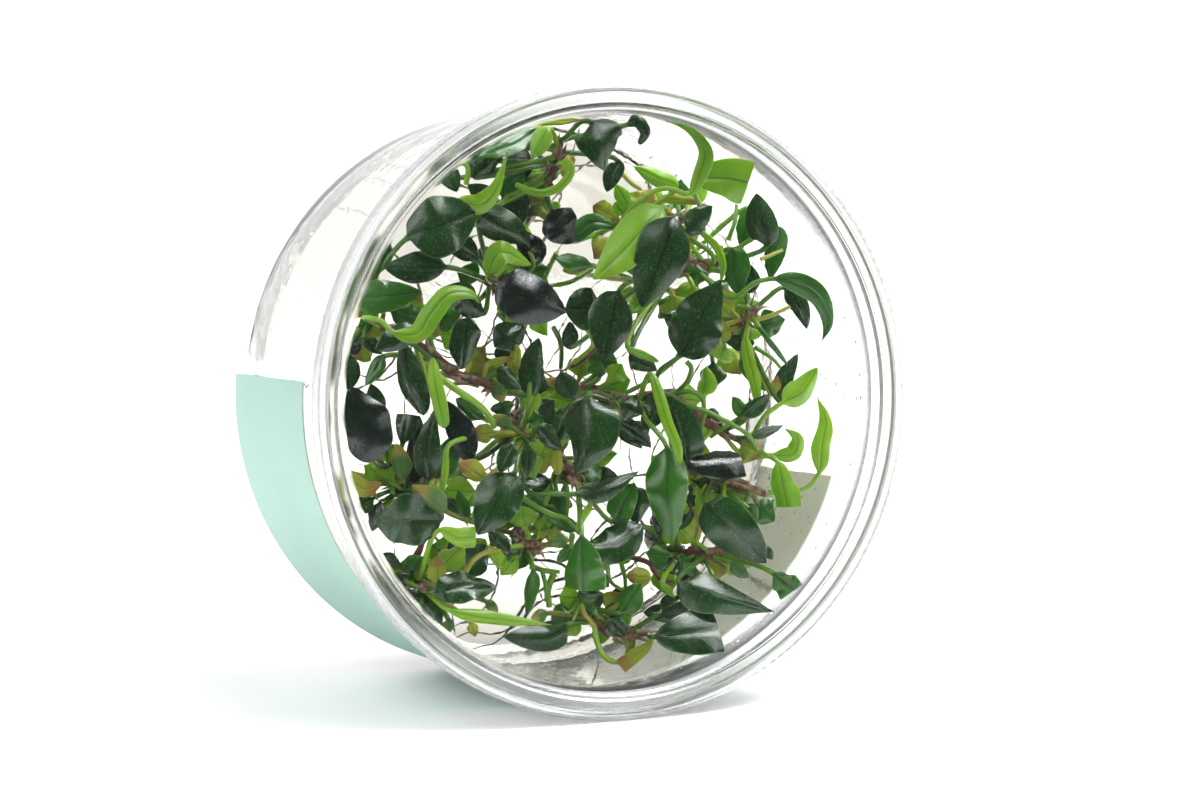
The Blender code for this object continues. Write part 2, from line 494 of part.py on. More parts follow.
def make_jar(frame):
    clear = material("clear_plastic", (0.95, 0.97, 0.97), 0.05, transmission=1.0, ior=1.49)
    paper = material("green_paper", (0.30, 0.62, 0.47), 0.6)
    jelly = material("pale_gel", (0.86, 0.80, 0.66), 0.3, transmission=0.6, ior=1.34)
    finish("cup", turned(cup_outline()), clear, frame)
    finish("lid", turned(lid_outline()), clear.copy(), frame)
    finish("label", part_ring(turned(band_outline()), BAND_START, BAND_END), paper, frame)
    return finish("gel", turned(gel_outline()), jelly, frame)


def make_plants(frame, gel):
    bark = material("stem", (0.16, 0.07, 0.04), 0.6)
    pockets = bmesh.new()
    for number in STEMS:
        hole = stem_body(number, GAP)
        mesh = bpy.data.meshes.new("pocket")
        hole.to_mesh(mesh)
        pockets.from_mesh(mesh)
        body = stem_body(number)
        for leaf in SMALL:
            if leaf.stem == number:
                grow_small_leaf(body, leaf)
        finish(f"stem_{number:02d}", split_bent(body), bark.copy(), frame)
    cutter = finish("foot_pockets", pockets, bark.copy(), frame)
    cutter.hide_render = True
    cutter.display_type = "WIRE"
    cut = gel.modifiers.new("foot pockets", "BOOLEAN")
    cut.operation = "DIFFERENCE"
    cut.object = cutter
    for number, leaf in LEAVES.items():
        look = material(f"leaf_{leaf.colour}", COLOURS[leaf.colour], 0.3)
        finish(f"leaf_{number:02d}", leaf_body(number), look, frame)


def main():
    clear_scene()
    frame = bpy.data.objects.new("jar_frame", None)
    bpy.context.scene.collection.objects.link(frame)
    gel = make_jar(frame)
    make_plants(frame, gel)
    frame.matrix_world = lay_down()
    bpy.context.view_layer.update()
    corners = [thing.matrix_world @ v.co for thing in bpy.data.objects if thing.name in ("cup", "lid", "label")
               for v in thing.data.vertices]
    low = Vector([min(c[i] for c in corners) for i in range(3)])
    high = Vector([max(c[i] for c in corners) for i in range(3)])
    frame.location = (0, -(low.y + high.y) / 2, -low.z)


if __name__ == "__main__":
    main()
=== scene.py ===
# %% [markdown]
# # Small aquarium plants in a tissue-culture cup
# A clear plastic cup lies on its side. Its flat lid faces the viewer, a mint green paper band is glued
# round its lower wall, and a layer of cream gel in its far end feeds a tangle of creeping stems with
# small leathery leaves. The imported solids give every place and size, and this file dresses them.

# %% Load the frame
import math
import random
from collections import namedtuple

import bpy
from mathutils import Matrix, Vector, noise


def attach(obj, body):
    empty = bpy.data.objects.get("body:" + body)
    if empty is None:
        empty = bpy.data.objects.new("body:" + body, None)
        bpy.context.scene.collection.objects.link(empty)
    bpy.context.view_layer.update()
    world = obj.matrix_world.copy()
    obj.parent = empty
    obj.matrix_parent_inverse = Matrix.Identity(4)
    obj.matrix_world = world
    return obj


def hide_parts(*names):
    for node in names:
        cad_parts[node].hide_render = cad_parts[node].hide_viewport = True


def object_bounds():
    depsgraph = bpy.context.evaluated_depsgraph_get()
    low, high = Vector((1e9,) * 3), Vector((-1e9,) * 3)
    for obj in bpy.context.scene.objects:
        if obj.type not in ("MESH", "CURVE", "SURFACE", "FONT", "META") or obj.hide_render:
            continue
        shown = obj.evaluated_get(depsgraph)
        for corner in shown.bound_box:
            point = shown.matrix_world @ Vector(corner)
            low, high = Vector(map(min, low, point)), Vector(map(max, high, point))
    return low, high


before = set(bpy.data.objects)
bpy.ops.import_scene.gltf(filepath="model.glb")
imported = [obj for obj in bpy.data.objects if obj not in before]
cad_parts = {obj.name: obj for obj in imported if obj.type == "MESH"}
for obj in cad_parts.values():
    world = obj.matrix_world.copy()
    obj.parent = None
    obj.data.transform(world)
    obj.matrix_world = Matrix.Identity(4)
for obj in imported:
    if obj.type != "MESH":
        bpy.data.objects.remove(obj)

cad_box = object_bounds()
print("CAD box in metres:", [[round(value, 4) for value in corner] for corner in cad_box])

# %% [markdown]
# ## The jar's own frame
# Inside the jar it is easiest to think with the jar upright: Z runs from the middle of the cup's base
# to the lid, X to the right and Y up as one looks at the lid, in millimetres. One matrix then lays
# that frame down as the solids lie. It is worked out from the two things that the jar rests on, the
# lid's skirt and the lower edge of the paper band.

# %% Lay the jar's frame down
MM = 0.001
GAP = 0.3
SIDES = 48                       # flats round the solids
LID_RADIUS, LID_TOP, LID_SKIRT = 50.0, 52.5, 3.5
PANEL_TOP, LID_SHEET, PLUG_RADIUS = 50.4, 0.8, 46.7
BASE_RADIUS, BASE_CORNER, WALL, WALL_FLARE = 45.8, 1.5, 1.0, 1.25
SHOULDER_Z, RIM_RADIUS, RIM_TOP, RIM_WALL = 46.4, 49.0, 51.4, 1.2
BAND_LOW, BAND_HIGH, BAND_THICK = 1.8, 36.8, 0.25
BAND_START, BAND_END = 174.0, 341.0
GEL_TOP = 12.0


def wall_radius(z):
    """Outer radius of the cup's wall at a height over its base."""
    return BASE_RADIUS + (z - BASE_CORNER) * math.tan(math.radians(WALL_FLARE))


flat = math.cos(math.pi / SIDES)
skirt_z = LID_TOP - LID_SKIRT
foot_radius = wall_radius(BAND_LOW) + GAP + BAND_THICK
tilt = math.atan2((LID_RADIUS - foot_radius) * flat, skirt_z - BAND_LOW)
turn = Matrix.Rotation(math.pi / 2 - tilt, 4, "X")
base_z = LID_RADIUS * flat * math.cos(tilt) - skirt_z * math.sin(tilt)
base_y = cad_box[1][1] / MM - (BASE_RADIUS - BASE_CORNER) * math.sin(tilt)
jar = Matrix.Translation((0, base_y * MM, base_z * MM)) @ turn @ Matrix.Scale(MM, 4)
print("The jar's axis rises", round(math.degrees(tilt), 2), "degrees; its base centre is at",
      [round(value, 5) for value in jar.translation])

# %% [markdown]
# ## The camera
# The photograph looks into the lid a little from the left and from above, with a long lens. The
# viewing point is given in the jar's frame, because the plants are laid out from it too.

# %% Place the camera
EYE = Vector((-264.7, 40.8, 661.5))
AIM = Vector((19.0, -3.0, -0.2))

bpy.ops.object.select_all(action="DESELECT")
camera_data = bpy.data.cameras.new("camera")
camera_data.lens = 128
camera_data.sensor_width = 36
camera_data.clip_start = 0.01
camera = bpy.data.objects.new("camera", camera_data)
bpy.context.scene.collection.objects.link(camera)
camera.location = jar @ EYE
camera.rotation_euler = (jar @ AIM - jar @ EYE).to_track_quat("-Z", "Y").to_euler()
bpy.context.scene.camera = camera
print("camera stands", round((jar @ EYE - jar @ AIM).length, 3), "m from the jar's middle")

# %% [markdown]
# ## Light and floor
# The object is clear, so what it shows is mostly what stands round it. The room is white behind the
# jar and dark round the camera, so that glossy leaves keep their depth and the flat lid mirrors
# nothing white. Two soft round lights, high on the right and on the left, give the leaves their
# gloss. A sun lamp, wide enough for soft edges, whitens the floor and leaves the shadow on it under
# the jar's left side.

# %% Light the room
scene = bpy.context.scene
scene.view_settings.view_transform = "Standard"
world = bpy.data.worlds.new("white room")
scene.world = world
world.use_nodes = True
room = world.node_tree
sky = room.nodes["Background"]
direction = room.nodes.new("ShaderNodeTexCoord")
split = room.nodes.new("ShaderNodeSeparateXYZ")
ramp = room.nodes.new("ShaderNodeMapRange")
ramp.interpolation_type = "SMOOTHSTEP"
ramp.inputs["From Min"].default_value = -0.85
ramp.inputs["From Max"].default_value = 1.05
ramp.inputs["To Min"].default_value = 0.09
ramp.inputs["To Max"].default_value = 1.20
room.links.new(direction.outputs["Generated"], split.inputs[0])
room.links.new(split.outputs["Y"], ramp.inputs["Value"])


def softbox(total, towards, wide, strength):
    """Adds a soft round light to the room, towards a direction and about so many degrees wide."""
    aim = room.nodes.new("ShaderNodeVectorMath")
    aim.operation = "DOT_PRODUCT"
    aim.inputs[1].default_value = Vector(towards).normalized()
    room.links.new(direction.outputs["Generated"], aim.inputs[0])
    glow = room.nodes.new("ShaderNodeMapRange")
    glow.interpolation_type = "SMOOTHSTEP"
    glow.inputs["From Min"].default_value = math.cos(math.radians(wide * 0.7))
    glow.inputs["From Max"].default_value = math.cos(math.radians(wide * 0.35))
    glow.inputs["To Max"].default_value = strength
    room.links.new(aim.outputs["Value"], glow.inputs["Value"])
    both = room.nodes.new("ShaderNodeMath")
    both.operation = "ADD"
    room.links.new(total, both.inputs[0])
    room.links.new(glow.outputs["Result"], both.inputs[1])
    return both.outputs[0]


total = softbox(ramp.outputs["Result"], (0.45, -0.40, 0.80), 44, 6.0)
total = softbox(total, (-0.75, -0.30, 0.60), 40, 4.4)
room.links.new(total, sky.inputs["Strength"])
sky.inputs["Color"].default_value = (1.0, 1.0, 1.0, 1.0)


sun_data = bpy.data.lights.new("broad_lamp", "SUN")
sun_data.energy = 3.8
sun_data.angle = math.radians(32)
sun = bpy.data.objects.new("broad_lamp", sun_data)
scene.collection.objects.link(sun)
sun.location = (0.32, -0.24, 0.82)
sun.rotation_euler = (Vector((0, 0, 0.05)) - sun.location).to_track_quat("-Z", "Y").to_euler()
print("the broad lamp shines from", [round(value, 2) for value in sun.location])

# %% [markdown]
# The floor begins just below the picture's lower edge. Further forward it would only be mirrored in the
# flat lid, as a white veil over the leaves.

# %% Lay the floor
FLOOR_SIDE = 2.4
eye, look_at = jar @ EYE, jar @ AIM
heading = math.atan2(look_at.y - eye.y, look_at.x - eye.x)
drop = math.atan2(eye.z - look_at.z, math.hypot(look_at.x - eye.x, look_at.y - eye.y))
half_view = math.atan(camera_data.sensor_width / 2 * (2 / 3) / camera_data.lens)
reach = eye.z / math.tan(drop + half_view) - 0.008 + FLOOR_SIDE / 2
bpy.ops.mesh.primitive_plane_add(
    size=FLOOR_SIDE, location=(eye.x + reach * math.cos(heading), eye.y + reach * math.sin(heading), 0),
    rotation=(0, 0, heading))
floor = bpy.context.object
floor.name = "floor"
floor_look = bpy.data.materials.new("white sweep")
floor_look.use_nodes = True
paint = floor_look.node_tree.nodes["Principled BSDF"]
paint.inputs["Base Color"].default_value = (0.93, 0.93, 0.93, 1.0)
paint.inputs["Roughness"].default_value = 0.45
floor.data.materials.append(floor_look)
print("floor", [round(side, 2) for side in floor.dimensions])

# %% [markdown]
# ## A shelf of node helpers
# Every finish below is a Principled shader whose colour, roughness and bump come from noise on Object
# coordinates, which are metres here, so a scale of 1000 makes a pattern of about a millimetre. Short
# helpers keep each recipe readable.

# %% Node helpers


def new_look(name, roughness=0.5):
    look = bpy.data.materials.new(name)
    look.use_nodes = True
    look.node_tree.nodes["Principled BSDF"].inputs["Roughness"].default_value = roughness
    return look


def node(look, kind, **values):
    made = look.node_tree.nodes.new(kind)
    for key, value in values.items():
        if key in made.inputs:
            made.inputs[key].default_value = value
        else:
            setattr(made, key, value)
    return made


def join(look, start, end):
    look.node_tree.links.new(start, end)


def spots(look, scale, detail=4.0, roughness=0.55):
    """Noise on Object coordinates."""
    place = node(look, "ShaderNodeTexCoord")
    made = node(look, "ShaderNodeTexNoise", Scale=scale, Detail=detail, Roughness=roughness)
    join(look, place.outputs["Object"], made.inputs["Vector"])
    return made.outputs["Fac"]


def stretch(look, value, low, high, to_low=0.0, to_high=1.0):
    made = node(look, "ShaderNodeMapRange")
    for name, number in (("From Min", low), ("From Max", high), ("To Min", to_low), ("To Max", to_high)):
        made.inputs[name].default_value = number
    join(look, value, made.inputs["Value"])
    return made.outputs["Result"]


def mixed(look, share, first, second):
    """A colour between two, each an RGB triple or another node's output."""
    made = look.node_tree.nodes.new("ShaderNodeMix")
    made.data_type = "RGBA"
    if isinstance(share, (int, float)):
        made.inputs["Factor"].default_value = share
    else:
        join(look, share, made.inputs["Factor"])
    for slot, colour in ((6, first), (7, second)):
        if isinstance(colour, tuple):
            made.inputs[slot].default_value = (*colour, 1.0)
        else:
            join(look, colour, made.inputs[slot])
    return made.outputs[2]


def maths(look, operation, first, second=None):
    made = node(look, "ShaderNodeMath", operation=operation)
    for index, value in enumerate((first, second)):
        if value is None:
            continue
        if isinstance(value, (int, float)):
            made.inputs[index].default_value = value
        else:
            join(look, value, made.inputs[index])
    return made.outputs[0]


def set_shader(look, **inputs):
    shader = look.node_tree.nodes["Principled BSDF"]
    for name, value in inputs.items():
        socket = shader.inputs[name.replace("_", " ")]
        if isinstance(value, (int, float)):
            socket.default_value = value
        elif isinstance(value, tuple):
            socket.default_value = (*value, 1.0) if len(value) == 3 and socket.type == "RGBA" else value
        else:
            join(look, value, socket)


def set_bump(look, height, strength, distance):
    made = node(look, "ShaderNodeBump", Strength=strength, Distance=distance)
    join(look, height, made.inputs["Height"])
    join(look, made.outputs["Normal"], look.node_tree.nodes["Principled BSDF"].inputs["Normal"])


def show(piece, look):
    """Gives a finished piece its look and its body."""
    piece.data.materials.clear()
    piece.data.materials.append(look)
    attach(piece, "root")
    return piece


print("helpers ready")

# %% [markdown]
# ## Clear plastic, paper and gel
# Thin moulded plastic is clear and very smooth, with faint flow marks that only show in its
# highlights. An attribute marks the lid's ring and the cup's rim, which are rougher. The paper is
# printed mint on its outside and is pale green behind, where it shows through the wall; that pale
# green is partly painted light, brightened and tinted for the light that shines through the mint print
# onto the shaded back. The gel is clear jelly with a cream tint.

# %% Looks of the jar
plastic = new_look("clear plastic", 0.02)
frosted = node(plastic, "ShaderNodeAttribute", attribute_name="frosted")
set_shader(plastic, Base_Color=(0.985, 0.99, 0.99), Transmission_Weight=1.0, IOR=1.49,
           Roughness=stretch(plastic, frosted.outputs["Fac"], 0.0, 1.0, 0.02, 0.24))
set_bump(plastic, spots(plastic, 260.0, 2.0), 0.05, 0.0006)

paper = new_look("mint paper", 0.55)
fibres = stretch(paper, spots(paper, 2600.0, 5.0), 0.3, 0.7)
print_patch = stretch(paper, spots(paper, 60.0, 3.0), 0.3, 0.7, 0.0, 0.35)
mint = mixed(paper, print_patch, (0.255, 0.430, 0.362), (0.310, 0.495, 0.425))
place = node(paper, "ShaderNodeAttribute", attribute_name="outside")
# Behind, the paper is painted a brighter pale green: painted light, for light shining through the mint print
# onto the shaded back.
set_shader(paper, Base_Color=mixed(paper, place.outputs["Fac"], (0.84, 0.93, 0.68), mint),
           Subsurface_Weight=0.35, Subsurface_Radius=(1.0, 1.0, 0.9))
paper.node_tree.nodes["Principled BSDF"].inputs["Subsurface Scale"].default_value = 0.0006
set_bump(paper, fibres, 0.15, 0.0001)

jelly = new_look("cream gel", 0.12)
cloud = stretch(jelly, spots(jelly, 90.0, 3.0), 0.35, 0.7)
set_shader(jelly, Base_Color=mixed(jelly, cloud, (0.90, 0.885, 0.81), (0.82, 0.79, 0.69)),
           Transmission_Weight=1.0, IOR=1.335)
set_bump(jelly, spots(jelly, 320.0, 3.0), 0.25, 0.0008)
print("jar looks:", plastic.name, paper.name, jelly.name)

# %% [markdown]
# ## Cup, lid, band and gel
# All four are turned shapes. An outline of radius and height is drawn once as an edge chain, then spun
# round the jar's axis. The solids do the same with 48 flats; here there are 144 or more, so that the
# clear walls bend light smoothly. Spinning is quicker and truer than sculpting a cylinder, because
# each number is a radius or a height that could be measured on the real cup.

# %% Spin an outline


def spun(name, outline, steps, start=0.0, sweep=360.0):
    """Spins (radius, height) points in millimetres round the jar's axis, and lays the piece down."""
    bpy.ops.object.select_all(action="DESELECT")
    mesh = bpy.data.meshes.new(name)
    angle = math.radians(start)
    spots_on_edge = [(r * math.cos(angle), r * math.sin(angle), z) for r, z in outline]
    closed = outline[0][0] > 0
    edges = [(i, i + 1) for i in range(len(outline) - 1)]
    if closed:
        edges.append((len(outline) - 1, 0))
    mesh.from_pydata(spots_on_edge, edges, [])
    piece = bpy.data.objects.new(name, mesh)
    scene.collection.objects.link(piece)
    bpy.context.view_layer.objects.active = piece
    piece.select_set(True)
    bpy.ops.object.mode_set(mode="EDIT")
    bpy.ops.mesh.select_all(action="SELECT")
    bpy.ops.mesh.spin(steps=steps, angle=-math.radians(sweep), center=(0, 0, 0), axis=(0, 0, 1))
    bpy.ops.mesh.select_all(action="SELECT")
    bpy.ops.mesh.remove_doubles(threshold=0.001)
    if sweep < 360:
        bpy.ops.mesh.select_all(action="DESELECT")
        bpy.ops.mesh.select_non_manifold(extend=False)
        bpy.ops.mesh.edge_face_add()
        bpy.ops.mesh.select_all(action="SELECT")
    bpy.ops.mesh.normals_make_consistent(inside=False)
    bpy.ops.object.mode_set(mode="OBJECT")
    return piece


def lay(piece):
    """From the jar's frame in millimetres to the world in metres, with smooth shading."""
    piece.data.transform(jar)
    bpy.ops.object.select_all(action="DESELECT")
    piece.select_set(True)
    bpy.context.view_layer.objects.active = piece
    bpy.ops.object.shade_smooth_by_angle(angle=math.radians(35))
    print(piece.name, len(piece.data.vertices), "points")
    return piece


def frost(piece, radius, height):
    """Marks the points outside a radius and over a height, for the rougher finish of ring and rim."""
    marks = piece.data.attributes.new("frosted", "FLOAT", "POINT")
    for point, mark in zip(piece.data.vertices, marks.data):
        outside = math.hypot(point.co.x, point.co.y) > radius
        mark.value = 1.0 if outside and point.co.z > height else 0.0


def fillet(centre, radius, start, end, count=4):
    """Points of a round corner between two angles in degrees."""
    return [(centre[0] + radius * math.cos(math.radians(start + (end - start) * k / count)),
             centre[1] + radius * math.sin(math.radians(start + (end - start) * k / count)))
            for k in range(count + 1)]


print("spinning tools ready")

# %% [markdown]
# The cup is an injection moulding with a thin wall. Its base has a low foot ring for stacking, the
# wall flares a little so that it leaves the mould, and a wider shoulder at the mouth takes the lid.

# %% Make the cup
outer_mouth = wall_radius(SHOULDER_Z)
cup_outline = (
    [(0.0, 0.35), (37.5, 0.35), (38.2, 0.0), (BASE_RADIUS - BASE_CORNER, 0.0)]
    + fillet((BASE_RADIUS - BASE_CORNER, BASE_CORNER), BASE_CORNER, -75, 0, 4)
    + [(wall_radius(z), z) for z in (10.0, 20.0, 30.0, 40.0, 45.4)]
    + [(outer_mouth + 0.1, SHOULDER_Z), (RIM_RADIUS - 0.7, SHOULDER_Z + 0.75), (RIM_RADIUS, SHOULDER_Z + 1.5),
       (RIM_RADIUS, RIM_TOP - 0.3), (RIM_RADIUS - 0.3, RIM_TOP), (RIM_RADIUS - RIM_WALL + 0.3, RIM_TOP),
       (RIM_RADIUS - RIM_WALL, RIM_TOP - 0.3), (RIM_RADIUS - RIM_WALL, SHOULDER_Z + 2.3),
       (outer_mouth - 0.4, SHOULDER_Z + 1.1), (outer_mouth - WALL, SHOULDER_Z - 0.3)]
    + [(wall_radius(z) - WALL, z) for z in (40.0, 30.0, 20.0, 10.0, 3.4)]
    + fillet((BASE_RADIUS - WALL - 1.5, WALL + 1.7), 1.4, 0, -90, 4)
    + [(38.6, WALL + 0.35), (38.0, WALL), (0.0, WALL)])
cup = spun("cup_clear", cup_outline, 192)
frost(cup, 40.0, 43.0)
lay(cup)
show(cup, plastic)
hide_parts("cup")

# %% [markdown]
# The lid is pressed over the rim: a low panel, a wall up to a ring, and a skirt down the outside
# with fine ribs for the fingers. The ribs are made by easing every second column of the skirt
# inwards by a tenth of a millimetre, which is enough to break up the highlights. The ring looks softer
# in the photo than smooth plastic does, so it is marked for a rougher finish. Why it looks so isn't known.

# %% Make the lid
under = PANEL_TOP - LID_SHEET
throat = PLUG_RADIUS - LID_SHEET
inside = LID_RADIUS - 0.65
lid_outline = (
    [(0.0, PANEL_TOP), (throat - 1.1, PANEL_TOP), (throat - 0.9, PANEL_TOP),
     (throat - 0.35, PANEL_TOP + 0.1), (throat - 0.05, PANEL_TOP + 0.45),
     (throat + 0.08, LID_TOP - 0.4), (throat + 0.25, LID_TOP - 0.1), (throat + 0.55, LID_TOP)]
    + [(LID_RADIUS - 1.9, LID_TOP), (LID_RADIUS - 1.7, LID_TOP - 0.12), (LID_RADIUS - 1.45, LID_TOP)]
    + fillet((LID_RADIUS - 0.7, LID_TOP - 0.7), 0.7, 90, 0, 4)
    + [(LID_RADIUS, LID_TOP - 2.6), (LID_RADIUS - 0.05, LID_TOP - LID_SKIRT + 0.1),
       (LID_RADIUS - 0.25, LID_TOP - LID_SKIRT), (inside, LID_TOP - LID_SKIRT + 0.15),
       (inside, LID_TOP - LID_SHEET - 0.3), (inside - 0.3, LID_TOP - LID_SHEET),
       (PLUG_RADIUS + 0.3, LID_TOP - LID_SHEET), (PLUG_RADIUS, LID_TOP - LID_SHEET - 0.3),
       (PLUG_RADIUS - 0.05, under + 0.5), (PLUG_RADIUS - 0.45, under), (throat - 0.9, under),
       (throat - 1.1, under), (0.0, under)])
lid = spun("lid_clear", lid_outline, 360)
for point in lid.data.vertices:
    radius = math.hypot(point.co.x, point.co.y)
    column = round(math.degrees(math.atan2(point.co.y, point.co.x)))
    if column % 2 and radius > LID_RADIUS - 0.1 and point.co.z < LID_TOP - 0.9:
        point.co.x *= 1 - 0.10 / radius
        point.co.y *= 1 - 0.10 / radius
frost(lid, throat - 1.0, 0.0)
lay(lid)
show(lid, plastic)
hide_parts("lid")

# %% [markdown]
# The paper band was wrapped round the wall and glued. Its face is marked by an attribute, so that one
# finish can be mint outside and pale behind, as it shows through the clear wall. The pale green behind
# is partly painted light, for light shining through the print onto the shaded back.

# %% Make the paper band
band_outline = []
band_heights = (BAND_LOW, 13.0, 25.0, BAND_HIGH)
for shift, heights in ((GAP, band_heights), (GAP + BAND_THICK, band_heights[::-1])):
    band_outline += [(wall_radius(z) + shift, z) for z in heights]
band = spun("paper_band", band_outline, 120, BAND_START, BAND_END - BAND_START)
outer_face = band.data.attributes.new("outside", "FLOAT", "POINT")
for point, mark in zip(band.data.vertices, outer_face.data):
    radius = math.hypot(point.co.x, point.co.y)
    mark.value = 1.0 if radius > wall_radius(point.co.z) + GAP + BAND_THICK / 2 else 0.0
lay(band)
show(band, paper)
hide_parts("label")

# %% [markdown]
# The gel was poured warm, so it climbs a little at the wall and its surface is not quite flat. It is
# spun too, and its top rings are then eased up and down by smooth noise.

# %% Make the gel
gel_low = WALL + GAP
rings = [(r, GEL_TOP) for r in (30.0, 20.0, 10.0)]
gel_wall = wall_radius(GEL_TOP) - WALL - 0.12
gel_outline = (
    [(0.0, gel_low), (38.3, gel_low), (39.0, gel_low + 0.35), (BASE_RADIUS - WALL - 1.8, gel_low + 0.4),
     (BASE_RADIUS - WALL - 0.45, gel_low + 1.9), (gel_wall, GEL_TOP + 0.9), (gel_wall - 0.35, GEL_TOP + 0.7),
     (gel_wall - 1.2, GEL_TOP + 0.15), (40.0, GEL_TOP)] + rings + [(0.0, GEL_TOP)])
gel = spun("gel_cream", gel_outline, 144)
for point in gel.data.vertices:
    if point.co.z > GEL_TOP - 0.1:
        point.co.z += 0.35 * noise.noise(point.co * 0.09) + 0.12 * noise.noise(point.co * 0.4)
lay(gel)
show(gel, jelly)
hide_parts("gel")

# %% [markdown]
# ## How the plants are laid out
# A tangle like this is hard to place by three coordinates. So each place is given as it is seen from
# the camera: u to the right and v up, in millimetres on an upright plane through the jar's middle,
# and z, its height in the jar. One function turns such a place into the jar's frame. A smooth curve
# through a few of these places is then the midline of a stem, a stalk or a blade.

# %% From a sight line to a place


def seen(u, v, z):
    """The place at height z in the jar on the line of sight through (u, v)."""
    back = (EYE - AIM).normalized()
    upright = Vector((0, math.cos(tilt), math.sin(tilt)))
    right = upright.cross(back).normalized()
    spot = AIM + right * u + back.cross(right) * v
    return EYE + (spot - EYE) * ((z - EYE.z) / (spot.z - EYE.z))


def smooth(points, steps=10):
    """A dense row of places on a smooth curve through the points, steps of them to each stretch."""
    ends = [points[0] * 2 - points[1], *points, points[-1] * 2 - points[-2]]
    row = []
    for a, b, c, d in zip(ends, ends[1:], ends[2:], ends[3:]):
        t1, t2, t3 = [(q - p).length ** 0.5 for p, q in ((a, b), (b, c), (c, d))]
        leave = (b - a) / t1 - (c - a) / (t1 + t2) + (c - b) / t2
        arrive = (c - b) / t2 - (d - b) / (t2 + t3) + (d - c) / t3
        for k in range(steps):
            s = k / steps
            row.append(
                b * (2 * s**3 - 3 * s**2 + 1) + c * (3 * s**2 - 2 * s**3)
                + leave * t2 * (s**3 - 2 * s**2 + s) + arrive * t2 * (s**3 - s**2))
    return row + [points[-1]]


def along_row(row, share):
    """The place and the direction at a share of a dense row's places, 0 to 1."""
    at = min(max(share, 0.0), 1.0) * (len(row) - 1)
    i = min(int(at), len(row) - 2)
    return row[i].lerp(row[i + 1], at - i), (row[i + 1] - row[i]).normalized()


print("the middle of the lid is seen at", [round(value, 1) for value in seen(0, 0, GEL_TOP)])

# %% [markdown]
# ## Stems and leaves, as lists
# Sixteen creeping stems start in the gel. Forty large leaves are pieces of their own, and small ones
# belong to their stem. Each row says what is seen: which stem a leaf grows on and how far along it,
# the blade's width and outline, its colour, the places along its midrib from base to tip, the places
# that its stalk passes, and a turn about the midrib.

# %% The stems and the large leaves
STEMS = {
    1: (1.8, [(-13, 30, 9), (-12, 31, 20), (-10.5, 34, 30), (-9.5, 36.5, 36), (-7.5, 40, 39),
         (-6.8, 44, 40.5)]),
    2: (1.6, [(7, 26, 9), (5, 27.5, 20), (3, 29.5, 30), (6, 30.3, 34), (12, 30.7, 36), (17, 31.5, 37)]),
    3: (1.5, [(-29, 11, 9), (-33, 12, 20), (-38, 13, 30), (-39.5, 17, 33), (-38.5, 21, 35)]),
    4: (1.6, [(-13, 2, 9), (-14, 1.5, 22), (-17, 1.8, 33), (-20, 3, 36), (-25, 4.7, 37), (-31.5, 10.3, 38)]),
    5: (2.6, [(6, 17, 9), (7, 19, 20), (9, 21, 28), (12, 22, 31), (16, 22.5, 32), (20, 23, 32)]),
    6: (1.4, [(17, 10, 9), (19, 10.5, 22), (23, 12, 31), (24.5, 13, 35), (26, 15.5, 37)]),
    7: (1.6, [(-4, 0, 9), (-5, 1, 22), (-2, 2, 30), (4, 0, 33), (12, 0.5, 34), (18, -4, 34), (25, -7.5, 35)]),
    8: (1.8, [(-14, -2, 9), (-14.5, -3, 22), (-14, -5, 32), (-12, -7, 37)]),
    9: (1.4, [(-24, -12, 9), (-28, -13, 20), (-34, -15, 30), (-36.5, -11, 34)]),
    10: (2.0, [(-7, -10, 9), (-7.5, -10, 22), (-7.3, -10, 31), (-5.5, -12, 35), (-3.5, -14.5, 37)]),
    11: (1.9, [(12, -11, 9), (13, -13, 22), (15.5, -14.3, 31), (19, -13.5, 34), (23, -14.2, 36),
         (28, -16, 38)]),
    12: (1.8, [(-13, -20, 9), (-14, -22, 22), (-13, -24, 32), (-10, -25, 38)]),
    13: (2.0, [(-23, -26, 9), (-26, -28, 20), (-31, -30.5, 31), (-30, -32.5, 36)]),
    14: (1.7, [(-2, -28, 9), (-2, -30.5, 20), (-2.3, -33.5, 29), (-0.8, -37.5, 34), (2.5, -39, 36),
         (8, -39.5, 37)]),
    15: (2.0, [(8, -23, 9), (9, -24.5, 20), (12, -26, 29), (16.5, -26.2, 33), (21, -26.3, 35)]),
    16: (1.7, [(-14, 17, 9), (-15, 18, 20), (-18, 19.5, 31), (-19, 20.5, 35)]),
}

Leaf = namedtuple("Leaf", "stem along width outline colour blade stalk roll", defaults=([], 0.0))

